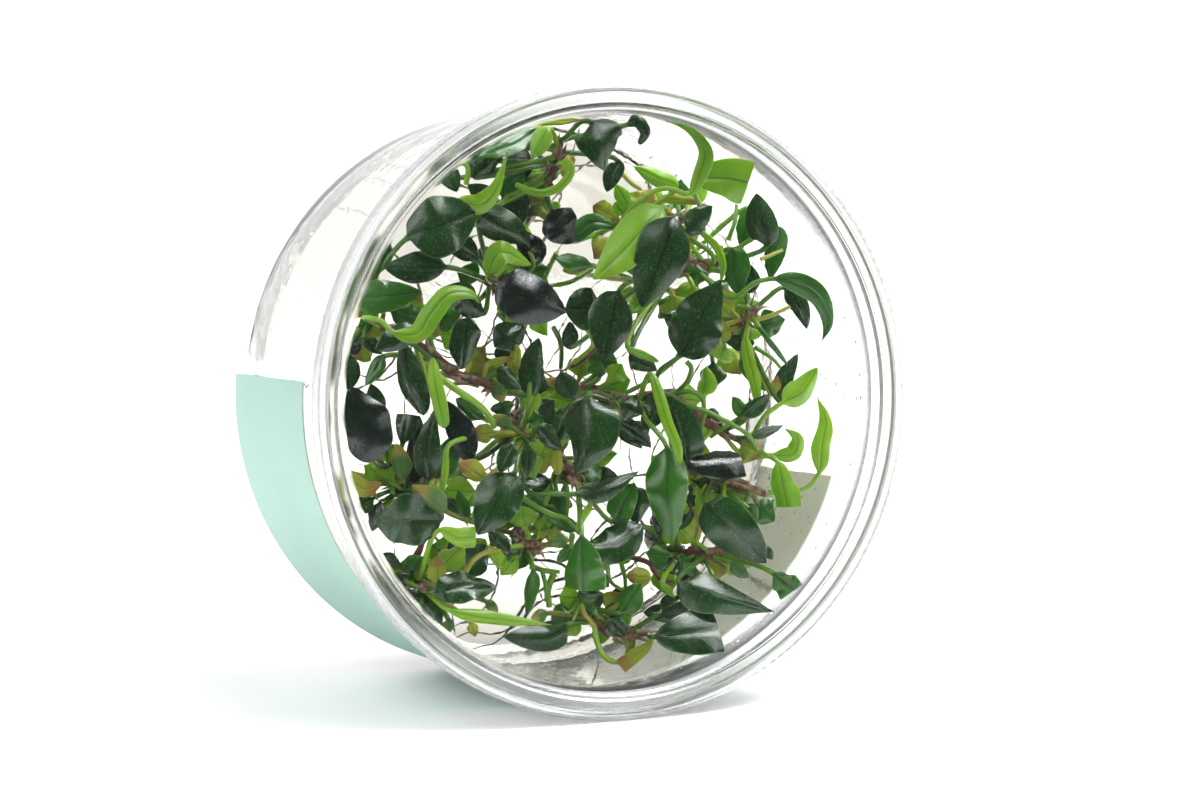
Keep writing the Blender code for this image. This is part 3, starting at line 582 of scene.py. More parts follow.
LEAVES = {
    1: Leaf(3, 1.0, 9.5, "round", "dark", [(-32.5, 27.5, 43), (-21.2, 31.8, 45)]),
    2: Leaf(1, 1.0, 4.6, "oval", "mid", [(-10.6, 45.6, 41), (-20.5, 41.2, 43)]),
    3: Leaf(1, 1.0, 8.3, "ovate", "dark", [(-1.5, 46.9, 46), (0.2, 43.5, 47.5), (0.6, 38.7, 46)],
            [(-5.6, 44.7, 44), (-3.4, 47, 45)]),
    4: Leaf(16, 0.9, 5.5, "oval", "dark", [(-20.5, 31.8, 42), (-12, 26.2, 41)]),
    5: Leaf(1, 0.6, 6.0, "oval", "black", [(-8.2, 32, 43), (-4.8, 26.5, 42)]),
    6: Leaf(2, 0.75, 7.0, "ovate", "light", [(10.3, 32.5, 44), (4, 25.5, 45), (-1.3, 20.3, 43)]),
    7: Leaf(2, 0.5, 2.7, "lance", "light",
            [(15, 34.8, 46), (16.8, 38.5, 47), (17.5, 42, 48), (15, 45.5, 47.5), (11.5, 47.2, 46)],
            [(5, 32, 42), (8, 34.8, 44), (11.5, 35.8, 45)]),
    8: Leaf(2, 1.0, 7.3, "cut", "light", [(16.2, 37, 45), (21, 37.5, 46), (25.6, 36.6, 46)]),
    9: Leaf(5, 1.0, 5.3, "oval", "dark", [(28, 26, 37), (26.3, 35, 38)]),
    10: Leaf(16, 1.0, 5.0, "oval", "dark", [(-26.3, 22.5, 43), (-36.6, 22.4, 41)]),
    11: Leaf(3, 0.7, 5.3, "oval", "mid", [(-42, 17, 36), (-30.3, 18.3, 40)]),
    12: Leaf(3, 0.5, 3.4, "lance", "light",
             [(-35, 11.4, 44), (-31, 11.3, 45), (-28.8, 14.5, 46), (-25.5, 18, 46), (-21.6, 17.8, 46),
              (-20.5, 16.4, 45)], [(-39.8, 14, 41), (-37, 13.3, 43)]),
    13: Leaf(16, 0.8, 5.2, "oval", "dark", [(-22.3, 13.8, 40), (-23.5, 5.2, 39)]),
    14: Leaf(16, 1.0, 8.5, "oval", "black", [(-17.5, 19.5, 43), (-12, 17.2, 45), (-5.9, 14.8, 43)]),
    15: Leaf(16, 0.9, 4.8, "oval", "dark", [(-20, 14.5, 40), (-23, 17.8, 41.5), (-28, 18, 41)]),
    16: Leaf(2, 0.85, 8.5, "oval", "dark", [(12.8, 30.8, 47), (10, 23.5, 48), (7, 15.6, 47)]),
    17: Leaf(7, 0.6, 8.5, "ovate", "dark", [(13.4, 7.6, 44), (20.3, 20.2, 46)], [(10, 5, 41)]),
    18: Leaf(5, 0.45, 7.2, "oval", "dark", [(3, 18.3, 42), (0.5, 6.9, 42)]),
    19: Leaf(5, 0.4, 6.8, "round", "dark", [(0.3, 15.5, 39), (-6, 15.6, 38)]),
    20: Leaf(5, 0.9, 5.3, "oval", "mid", [(22, 25.5, 38), (23.2, 17.8, 38)]),
    21: Leaf(5, 0.8, 3.5, "lance", "mid",
             [(29.5, 20.5, 43), (33.5, 19.8, 44), (37, 17.3, 44), (38.4, 13, 43), (37.4, 9.9, 42)],
             [(22.3, 17.3, 39), (26, 19.8, 41)]),
    22: Leaf(7, 1.0, 4.6, "oval", "light", [(30.8, -0.4, 39), (34, 1.2, 40), (36.6, 5.5, 40)],
             [(27.5, -3, 38)]),
    23: Leaf(9, 1.0, 8.3, "oval", "black", [(-37.5, -9.8, 42), (-39.8, -4, 43.5), (-42.3, 2.3, 43)]),
    24: Leaf(9, 0.6, 4.4, "lance", "dark", [(-29.2, -13.3, 39), (-29.3, -8, 41), (-28, -1.3, 41)]),
    25: Leaf(9, 0.5, 8.5, "round", "dark", [(-27.2, -20.2, 41), (-38, -20.3, 41)]),
    26: Leaf(7, 0.45, 9.3, "ovate", "dark", [(-2.3, 0.5, 44), (-2.3, -6, 46), (-4.2, -12.7, 44)]),
    27: Leaf(8, 1.0, 7.5, "oval", "dark", [(-14.6, -12.5, 43), (-17.5, -17, 44), (-20.8, -22.8, 42)],
             [(-13.8, -9, 41)]),
    28: Leaf(8, 0.7, 3.6, "lance", "dark", [(-3.8, -15.8, 42), (1, -14.8, 43), (6.6, -12, 42)],
             [(-12.3, -15.5, 38), (-9, -15.8, 41)]),
    29: Leaf(7, 0.55, 6.7, "oval", "mid", [(11.2, -8, 46), (11.2, -15, 47.5), (12, -24, 46)],
         [(7.5, -3, 42)]),
    30: Leaf(7, 0.55, 1.9, "band", "light",
             [(8.6, 4.3, 46), (9.8, 1, 47.5), (11.3, -4, 48.5), (13, -8, 48.5), (13.4, -10.8, 48)]),
    31: Leaf(11, 0.5, 6.5, "oval", "dark", [(14.8, -11, 40), (13.5, -5.5, 41), (10.8, 0.8, 40)]),
    32: Leaf(11, 0.7, 6.0, "cut", "black", [(15, -11.3, 43), (24.2, -9.3, 43)]),
    33: Leaf(7, 1.0, 4.8, "cut", "light", [(29.8, -10.4, 41), (31.8, -18.7, 41)], [(28, -9.3, 39)]),
    34: Leaf(11, 1.0, 3.2, "lance", "light",
             [(36.9, -12.3, 41), (37.3, -8, 42), (38, -3.5, 42), (36.5, 0.7, 41)], [(34.5, -15, 40)]),
    35: Leaf(11, 0.6, 8.0, "oval", "dark", [(17.6, -17.6, 42), (22.5, -22, 44), (28, -27.5, 43)]),
    36: Leaf(13, 1.0, 5.3, "oval", "dark", [(-28, -32.4, 40), (-23, -31.5, 41), (-17.6, -31.5, 40)]),
    37: Leaf(10, 1.0, 6.8, "cut", "mid", [(-3.2, -23, 43), (-3, -33, 43)]),
    38: Leaf(15, 0.5, 6.3, "oval", "dark", [(7, -21.4, 40), (2.5, -24.3, 41.5), (-2.5, -24.8, 41)]),
    39: Leaf(15, 0.8, 6.3, "lance", "dark", [(13.4, -31, 45), (20, -33, 47.5), (29.3, -35.8, 47)]),
    40: Leaf(14, 1.0, 8.0, "cut", "dark", [(9.3, -40, 46), (20.8, -38.7, 47)]),
}
print(len(STEMS), "stems and", len(LEAVES), "large leaves")

# %% Small leaves, which are also part of the solid stems
SMALL = [
    Leaf(1, 0.65, 3.5, "lance", "light", [(-24.3, 33.3, 43), (-20.5, 33, 44), (-18, 35.2, 45),
         (-15.8, 41.8, 44)],
         [(-22, 31, 38), (-25.6, 31.4, 41)]),
    Leaf(1, 0.8, 4.5, "oval", "dark", [(-21.5, 37.8, 40), (-16.2, 42.2, 41)]),
    Leaf(1, 0.95, 3.3, "lance", "light", [(-8.8, 46, 44), (-11.8, 40.5, 45)]),
    Leaf(1, 0.75, 4.5, "oval", "black", [(-12.5, 42.8, 36), (-15.5, 36.2, 37)]),
    Leaf(1, 0.45, 4.5, "oval", "dark", [(-15, 35.5, 34), (-13.5, 29.5, 35)]),
    Leaf(1, 0.9, 3.0, "oval", "dark", [(2.8, 40.5, 40), (1, 35.2, 40)]),
    Leaf(2, 0.4, 3.2, "lance", "mid", [(-4.8, 27, 38), (-1.5, 30, 40), (4.3, 28.8, 40)]),
    Leaf(2, 0.6, 2.8, "oval", "light", [(12.8, 36, 38), (5.6, 39.5, 38)]),
    Leaf(2, 0.75, 4.0, "oval", "dark", [(14.5, 28.5, 42), (18.8, 32.8, 42)]),
    Leaf(2, 0.9, 1.3, "band", "light", [(16.3, 29, 38), (19.5, 26, 39), (20.6, 23, 39), (20.4, 20.3, 38)]),
    Leaf(3, 0.95, 3.4, "oval", "dark", [(-37.5, 23.3, 38), (-36, 27, 38)]),
    Leaf(3, 0.45, 4.0, "oval", "dark", [(-43, 8, 36), (-42.5, 1.5, 36)]),
    Leaf(4, 1.0, 4.0, "oval", "dark", [(-31, 12, 41), (-38.2, 8.5, 41)]),
    Leaf(4, 0.85, 4.5, "spoon", "dark", [(-32.8, 9.6, 40), (-32.3, 4, 41), (-29.8, -2.6, 40)]),
    Leaf(4, 0.9, 2.6, "oval", "mid", [(-36.5, 7.4, 37), (-39.8, 2.6, 37)]),
    Leaf(4, 0.5, 4.5, "oval", "dark", [(-12, 1, 38), (-10.5, 10.5, 38)]),
    Leaf(4, 0.6, 3.0, "oval", "dark", [(-17.5, 5, 38), (-13.5, 2, 39)]),
    Leaf(5, 0.7, 3.0, "oval", "mid", [(24.9, 32.5, 33), (23.8, 25.5, 33)]),
    Leaf(5, 0.95, 3.5, "oval", "mid", [(30, 29, 36), (28.6, 20.4, 36)]),
    Leaf(6, 1.0, 3.3, "oval", "dark", [(31, 19, 37), (33.5, 16, 38), (34.9, 12, 37)]),
    Leaf(6, 0.85, 2.2, "band", "light", [(24.5, 10.5, 37), (25, 7, 38), (26, 3, 38), (26.5, -0.5, 38)]),
    Leaf(6, 0.7, 3.5, "oval", "mid", [(24, 7, 33), (28.3, 1.5, 33)]),
    Leaf(7, 0.35, 3.8, "oval", "dark", [(-4.8, 0.5, 38), (-6.8, 4.8, 38)]),
    Leaf(7, 0.48, 3.8, "oval", "dark", [(3.6, -0.6, 41), (7.2, -2.2, 41.5)]),
    Leaf(7, 0.9, 2.8, "lance", "light",
         [(29.3, -9.3, 35), (32.5, -9, 36), (33.2, -6.5, 37), (31, -4.7, 37)], [(24.5, -9.5, 33)]),
    Leaf(8, 0.7, 3.3, "oval", "mid", [(-20, -3, 38), (-24.5, 0.3, 38)]),
    Leaf(8, 0.75, 4.5, "oval", "black", [(-21.5, -9.8, 38), (-26.2, 0, 38)]),
    Leaf(8, 0.6, 4.0, "oval", "mid", [(-26.3, -13, 36), (-25.3, -6.2, 37)]),
    Leaf(8, 0.9, 3.3, "oval", "yellow", [(-19.5, -13, 40), (-24, -10.5, 41)]),
    Leaf(8, 0.85, 3.3, "oval", "dark", [(-15, -7.5, 43), (-17, -12.3, 43)]),
    Leaf(9, 0.9, 4.0, "cut", "dark", [(-33.5, -7.3, 37), (-32.5, -2, 37)]),
    Leaf(9, 0.7, 3.5, "oval", "black", [(-31.8, -13.8, 35), (-30.5, -3, 34)]),
    Leaf(12, 0.5, 4.0, "oval", "tan", [(-26.2, -18.8, 42), (-31.8, -14.4, 43)]),
    Leaf(10, 0.9, 4.5, "oval", "mid", [(2, -20.5, 38), (5.8, -14, 39)]),
    Leaf(10, 1.0, 2.5, "oval", "mid", [(-3.9, -21.5, 38), (-9.4, -19.6, 38)]),
    Leaf(11, 0.45, 2.0, "lance", "light", [(16.5, -15.8, 37), (17.6, -19, 38), (20.5, -23.5, 37)]),
    Leaf(12, 0.6, 2.6, "lance", "mid", [(-11.4, -28.8, 36), (-12.6, -36.8, 36)]),
    Leaf(12, 1.0, 2.2, "lance", "tan", [(-8, -24, 40), (-5, -23.6, 40)]),
    Leaf(13, 0.7, 5.0, "oval", "dark", [(-23, -29, 35), (-19.5, -24.5, 35)]),
    Leaf(13, 0.9, 2.2, "lance", "light", [(-25.3, -35.6, 41), (-17, -37, 42), (-8.3, -38, 42)]),
    Leaf(13, 0.8, 3.3, "oval", "yellow", [(-27.6, -31, 37), (-27.5, -26.3, 37)]),
    Leaf(14, 0.5, 4.3, "oval", "mid", [(3.5, -35.8, 39), (6.8, -31, 40)]),
    Leaf(14, 0.6, 5.0, "oval", "dark", [(-5.8, -38, 39), (-9, -40, 39), (-16.5, -40, 38)]),
    Leaf(14, 0.9, 5.0, "oval", "dark", [(10, -36, 38), (15.5, -33, 38)]),
    Leaf(15, 1.0, 4.8, "cut", "mid", [(29.3, -29.4, 46), (32.6, -32.6, 46.5)], [(26, -27.8, 41)]),
]

# %% [markdown]
# The solids stop there. What follows is finer than they go: more small leaves behind the others, and
# bare stalks, whose leaves have been cut or lie hidden.

# %% The smallest leaves
TINY = [
    Leaf(1, 0.8, 3.5, "oval", "dark", [(-25.9, 39.8, 39), (-24.3, 35.2, 40)]),
    Leaf(1, 0.85, 2.0, "oval", "mid", [(-28.2, 37, 38), (-26, 38.8, 38)]),
    Leaf(1, 0.95, 2.5, "lance", "dark", [(-23, 42, 38), (-18, 43.6, 38)]),
    Leaf(1, 1.0, 2.0, "band", "dark", [(4.6, 46.6, 43), (5.9, 47.3, 44), (7.6, 45.2, 44), (6.5, 43.2, 43)]),
    Leaf(1, 1.0, 1.3, "lance", "yellow", [(-11, 46.6, 39), (-6, 47.2, 39), (-2.9, 47.4, 39)]),
    Leaf(1, 0.5, 1.4, "band", "light",
         [(-14, 36.3, 41), (-10.5, 35, 43), (-7, 36, 44), (-5, 38.6, 44), (-5.5, 40.3, 43),
              (-7.8, 39.8, 42)]),
    Leaf(1, 0.6, 3.0, "oval", "dark", [(-17.5, 33.2, 37), (-22.5, 36.4, 37)]),
    Leaf(1, 0.7, 3.2, "oval", "mid", [(-16.5, 34.5, 38), (-12.8, 38.5, 38)]),
    Leaf(2, 0.5, 2.5, "oval", "light", [(4.5, 33, 37), (2.5, 36.5, 37)]),
    Leaf(2, 0.8, 1.8, "lance", "yellow", [(10, 33.8, 36), (14, 33.8, 37), (18.1, 32.9, 37)]),
    Leaf(2, 0.7, 2.6, "oval", "yellow", [(6, 30, 34), (2.4, 26.5, 35)]),
    Leaf(3, 0.6, 2.0, "oval", "black", [(-42.5, 8.3, 36), (-40.5, 9.3, 36)]),
    Leaf(3, 0.6, 2.2, "oval", "dark", [(-39.8, 10.5, 37), (-37, 7.8, 37)]),
    Leaf(3, 0.9, 3.0, "oval", "mid", [(-40.5, 22, 36), (-35, 24.5, 37)]),
    Leaf(16, 0.95, 4.0, "oval", "light", [(-19, 21.3, 40), (-17, 25, 42), (-11.8, 22.8, 41)]),
    Leaf(16, 0.7, 5.0, "oval", "dark", [(-13.5, 13, 37), (-18, 9, 38)]),
    Leaf(16, 0.8, 4.0, "oval", "dark", [(-21, 24, 38), (-26.5, 27.5, 38)]),
    Leaf(16, 0.75, 4.2, "oval", "black", [(-10, 24, 36), (-14.5, 28.5, 36)]),
    Leaf(5, 0.3, 3.0, "oval", "mid", [(-1.8, 22.8, 38), (-7.8, 24, 39)]),
    Leaf(5, 0.3, 1.6, "lance", "yellow", [(-6, 22, 37), (-2, 22.3, 37)]),
    Leaf(5, 0.2, 2.8, "oval", "dark", [(-5.5, 9, 37), (-5.2, 13.3, 37)]),
    Leaf(5, 0.6, 3.0, "oval", "dark", [(5.2, 7.5, 38), (9.5, 5, 38)]),
    Leaf(5, 0.6, 1.3, "band", "light", [(4.5, 9, 40), (9.8, 6.5, 40)]),
    Leaf(5, 0.8, 3.6, "oval", "dark", [(15.5, 12, 36), (10.5, 14.5, 36)]),
    Leaf(4, 0.4, 1.3, "lance", "yellow", [(-14.2, 9, 38), (-14, 4.5, 38)]),
    Leaf(4, 0.6, 1.4, "lance", "yellow", [(-19, 6, 37), (-14.5, 7.3, 37)]),
    Leaf(4, 1.0, 2.4, "band", "light", [(-26.5, -4.5, 43), (-27.2, -1, 44), (-28, 3, 44), (-28.4, 7.2, 43)]),
    Leaf(4, 0.55, 2.6, "oval", "tan", [(-17.5, 2.6, 38), (-16.6, -0.4, 38)]),
    Leaf(4, 0.9, 3.2, "oval", "mid", [(-30, 13.5, 36), (-34.5, 15.5, 36)]),
    Leaf(6, 0.9, 1.0, "band", "mid", [(26.8, 12.2, 40), (31.5, 6, 40)]),
    Leaf(6, 0.6, 3.2, "oval", "dark", [(30.4, -0.3, 37), (31, 3.5, 37), (33.3, 7.8, 37)]),
    Leaf(6, 0.6, 2.0, "oval", "yellow", [(29, 1, 36), (30, 4, 36)]),
    Leaf(7, 0.3, 3.8, "oval", "dark", [(-7.3, -6.8, 37), (-4.8, -0.5, 38)]),
    Leaf(7, 0.7, 4.0, "oval", "dark", [(11, 1, 38), (7, -5, 39)]),
    Leaf(7, 0.95, 1.8, "lance", "dark", [(25.8, -6.2, 39), (31, -4.2, 39)]),
    Leaf(7, 0.9, 3.0, "oval", "dark", [(24.2, -2.7, 39), (28.5, 1, 39)]),
    Leaf(7, 0.9, 2.4, "oval", "mid", [(24.6, -3, 38), (22.3, 0.6, 38)]),
    Leaf(7, 0.6, 3.4, "oval", "dark", [(3.5, -3.5, 36), (8.5, -8, 36)]),
    Leaf(8, 0.85, 3.2, "oval", "yellow", [(-18, -5.5, 38), (-21.8, -5.8, 38)]),
    Leaf(8, 0.7, 2.2, "oval", "mid", [(-22.3, -20, 38), (-24.2, -15.3, 38)]),
    Leaf(8, 0.9, 2.5, "oval", "dark", [(-12, -8, 40), (-12.5, -13, 40)]),
    Leaf(8, 0.8, 1.2, "band", "light", [(-25.7, -7.7, 40), (-26.3, -12, 41), (-26.8, -16, 40)]),
    Leaf(8, 1.0, 3.0, "oval", "dark", [(-10.5, -4.5, 40), (-6.5, -8.5, 40)]),
    Leaf(8, 0.9, 2.0, "oval", "tan", [(-15, -4.6, 40), (-18.2, -2.4, 40)]),
    Leaf(9, 0.8, 3.0, "oval", "tan", [(-33.3, -13, 38), (-34.5, -7.3, 38)]),
    Leaf(9, 0.6, 2.5, "oval", "dark", [(-22.8, -19.8, 37), (-26.5, -16.3, 38)]),
    Leaf(9, 0.6, 2.8, "oval", "yellow", [(-43, -12.5, 37), (-40, -15, 38), (-37, -14, 38)]),
    Leaf(9, 0.5, 3.4, "oval", "dark", [(-38.5, -16.5, 36), (-42, -18.5, 36)]),
    Leaf(9, 0.5, 3.2, "oval", "black", [(-37, -17.5, 36), (-39.5, -22.5, 36)]),
    Leaf(9, 0.4, 2.2, "lance", "yellow", [(-41, -13.5, 35), (-37.5, -17, 36)]),
    Leaf(9, 0.9, 3.4, "oval", "dark", [(-37.5, -3.5, 36), (-38.8, 2.8, 36)]),
    Leaf(10, 0.7, 2.0, "lance", "yellow", [(-7.3, -12, 38), (-7.8, -6.8, 38)]),
    Leaf(10, 1.0, 4.0, "oval", "dark", [(6, -15, 38), (6, -21, 38)]),
    Leaf(10, 1.0, 1.3, "band", "light", [(-1.8, -17.5, 41), (-4.2, -22, 41)]),
    Leaf(10, 0.7, 2.0, "oval", "mid", [(-9.3, -18, 36), (-7, -19.5, 36)]),
    Leaf(11, 0.7, 2.2, "lance", "light", [(21, -17.2, 38), (24, -18.5, 38)]),
    Leaf(11, 0.9, 2.5, "oval", "mid", [(24.5, -17.5, 37), (26.5, -20.5, 37)]),
    Leaf(11, 0.4, 3.0, "oval", "dark", [(15, -18, 34), (13, -22, 34)]),
    Leaf(11, 0.5, 1.8, "lance", "yellow", [(14.8, -12, 36), (17.6, -13, 37)]),
    Leaf(12, 0.8, 2.0, "oval", "mid", [(-5, -25, 40), (-7.4, -27.5, 40)]),
    Leaf(12, 0.5, 2.8, "oval", "dark", [(-15.5, -26, 34), (-19, -22, 34)]),
    Leaf(13, 0.8, 3.4, "cut", "light", [(-27.3, -22, 42), (-24, -23.2, 43), (-20.6, -23, 42)]),
    Leaf(13, 0.6, 2.5, "oval", "dark", [(-34, -31.5, 35), (-27.5, -35, 36)]),
    Leaf(13, 0.7, 3.5, "oval", "dark", [(-30, -34.5, 37), (-27, -38.4, 38)]),
    Leaf(13, 0.8, 2.0, "oval", "mid", [(-25.8, -37, 38), (-25.7, -39.4, 38)]),
    Leaf(13, 0.8, 1.8, "oval", "yellow", [(-22, -37.6, 38), (-21.2, -40, 38)]),
    Leaf(13, 0.5, 2.4, "oval", "dark", [(-34, -28, 34), (-37.5, -26, 34)]),
    Leaf(13, 0.6, 2.0, "oval", "black", [(-33, -29.5, 36), (-35.6, -31, 36)]),
    Leaf(13, 0.7, 1.8, "oval", "tan", [(-19.4, -34, 38), (-17.4, -35.8, 38)]),
    Leaf(14, 0.6, 3.0, "oval", "yellow", [(8.2, -30, 37), (4.3, -29.6, 37)]),
    Leaf(14, 0.7, 3.0, "oval", "dark", [(1.8, -37.2, 39), (4, -40, 39)]),
    Leaf(14, 1.0, 3.0, "cut", "yellow", [(8.5, -41, 40), (2.8, -45.2, 40)]),
    Leaf(14, 0.6, 2.2, "oval", "tan", [(-9, -36, 38), (-11.8, -37, 38)]),
    Leaf(14, 0.5, 2.2, "oval", "dark", [(-0.8, -29.5, 36), (1.4, -31.6, 36)]),
    Leaf(15, 0.6, 3.0, "oval", "dark", [(12.5, -36, 37), (7.2, -35.8, 37)]),
    Leaf(15, 0.6, 1.3, "lance", "light", [(10.5, -31, 39), (12.5, -33.5, 39)]),
    Leaf(15, 0.9, 2.4, "oval", "mid", [(22, -27.5, 37), (25, -30, 37)]),
    Leaf(15, 0.4, 2.8, "oval", "black", [(8, -21.5, 35), (10, -23.8, 35)]),
    Leaf(15, 1.0, 1.5, "oval", "dark", [(28, -25, 38), (29, -27, 38)]),
]

# Bare stalks: thickness, colour, places
STALKS = [
    (0.9, "light", [(-22.7, 36.5, 42), (-22.6, 39.5, 43), (-24.8, 40.7, 43)]),
    (0.8, "yellow", [(3.2, 38.8, 36), (5, 36.8, 36), (6.8, 35.6, 35)]),
    (0.8, "mid", [(21.5, 27, 35), (22.6, 30, 35), (23, 33, 34)]),
    (0.8, "mid", [(-41, 12, 36), (-42.8, 10, 37), (-43.3, 7.5, 37)]),
    (0.8, "mid", [(-12, 25, 38), (-11.3, 23, 37), (-12.4, 20.6, 35)]),
    (0.8, "mid", [(-7.5, 24.8, 37), (-8.6, 22.5, 36), (-9.5, 20.3, 34)]),
    (0.9, "mid", [(-1.5, 22.2, 35), (-5, 20, 36), (-8.5, 19.3, 36)]),
    (0.9, "light", [(-4, 13.5, 36), (-2, 11.5, 38), (-1.3, 9.5, 38), (-4.5, 6.3, 35)]),
    (0.8, "bark", [(0, 9.5, 34), (-3, 6.8, 34), (-5, 5.5, 32)]),
    (0.9, "dark", [(-8, 12.3, 36), (-6.7, 9.5, 35), (-6.7, 5.5, 32)]),
    (0.9, "mid", [(15, 27.3, 41), (18.5, 25, 42), (19.2, 23.5, 42), (18.2, 23.2, 41)]),
    (0.7, "yellow", [(27, 23.8, 38), (30.7, 25.3, 38)]),
    (0.8, "yellow", [(24, 13.2, 35), (28, 14, 37), (32, 15.8, 38)]),
    (0.8, "mid", [(23, 15.8, 36), (25, 15.6, 37), (26.5, 14, 36)]),
    (0.8, "mid", [(26, 9, 35), (29, 7, 36), (30.3, 5.5, 36)]),
    (0.9, "mid", [(14.5, 6.5, 40), (15.3, 5.5, 40), (14.5, 3, 38), (12.5, 1.3, 36), (11, 1, 34.5)]),
    (1.2, "light", [(-27.5, 4, 41), (-24, 1.5, 42), (-21, -0.5, 42), (-19, -2.5, 41), (-18, -4.5, 39)]),
    (0.7, "mid", [(-22, -6.7, 37), (-18, -6, 38), (-15, -5, 35)]),
    (0.9, "mid", [(-12, 3, 38), (-12.3, -1, 38), (-13, -4.5, 35)]),
    (0.9, "dark", [(-7.8, -12.5, 33), (-8.2, -14, 36), (-8, -15.5, 37)]),
    (0.9, "mid", [(-6.5, -12.5, 34), (-5.6, -16, 37), (-5.8, -20, 37)]),
    (0.9, "mid", [(-13.3, -16.5, 36), (-9, -19, 39), (-6, -20, 39), (-3.7, -22.5, 38)]),
    (0.9, "mid", [(11, 0.5, 35), (15, 1.5, 38), (17, 0.5, 38), (17.5, -1.5, 38), (17, -5, 36)]),
    (0.8, "mid", [(4, 1, 34), (9, 3.8, 36), (13, 7, 38)]),
    (0.9, "mid", [(13.5, -0.7, 36), (18, -2, 39), (22, -4, 40), (25, -6, 40), (26.5, -8.5, 39)]),
    (0.8, "mid", [(24, -2.7, 38), (21, -4.5, 37), (18.5, -6.3, 35)]),
    (0.8, "mid", [(21.5, -15.5, 35), (23.5, -17, 37), (25, -18.2, 38)]),
    (1.4, "yellow", [(16, -18, 36), (16.8, -20.5, 37), (16.3, -23.5, 36)]),
    (0.9, "bark", [(-27, -20, 33), (-30, -24, 34), (-33, -29, 31)]),
    (0.8, "bark", [(-28.5, -20.5, 32), (-30.5, -25.5, 33), (-31, -30, 31)]),
    (0.9, "yellow", [(-23, -29.2, 36), (-21.5, -27, 37), (-20, -26, 37), (-17, -25.5, 35)]),
    (1.0, "mid", [(-12, -28, 34), (-9.5, -28.8, 35), (-7, -29, 35)]),
    (0.8, "mid", [(-10, -28.5, 35), (-9.4, -31, 36), (-9.2, -34, 36)]),
    (1.2, "mid", [(-8, -29.5, 35), (-8.9, -32, 36), (-8.7, -35, 36)]),
    (0.9, "mid", [(-4.8, -22.5, 40), (-5, -25, 40), (-4.8, -27, 39)]),
    (1.2, "yellow", [(-3.5, -33, 32), (-3, -36, 35), (-1, -38.3, 36)]),
    (1.0, "light", [(-1, -38.5, 36), (-0.6, -41, 37), (0.5, -43.2, 38), (2, -44.2, 38), (4, -44, 38),
         (5.5, -43, 37)]),
    (0.8, "mid", [(1, -28, 31), (2, -31, 35), (5, -32.8, 37)]),
    (0.8, "mid", [(3.5, -27.8, 33), (4.1, -30, 35), (4.2, -32.5, 36)]),
    (0.9, "bark", [(5, -26.5, 31), (8, -27.5, 34), (10, -30, 35), (12, -31, 34)]),
    (0.8, "mid", [(-8, -36, 36), (-5.5, -36, 36), (-3.5, -33.3, 32)]),
    (0.8, "mid", [(-5, -38, 37), (-4.2, -36, 36), (-3.5, -34, 33)]),
    (0.8, "mid", [(17.5, -27, 34), (18.4, -28.4, 37), (19, -29.7, 38)]),
    (1.5, "yellow", [(16, -20, 33), (15.6, -22.5, 33), (15.8, -25, 32)]),
    (0.9, "mid", [(13, -22, 33), (12.9, -23.6, 33), (13.2, -25, 31)]),
]
print(len(SMALL), "small leaves,", len(TINY), "smaller ones and", len(STALKS), "bare stalks")
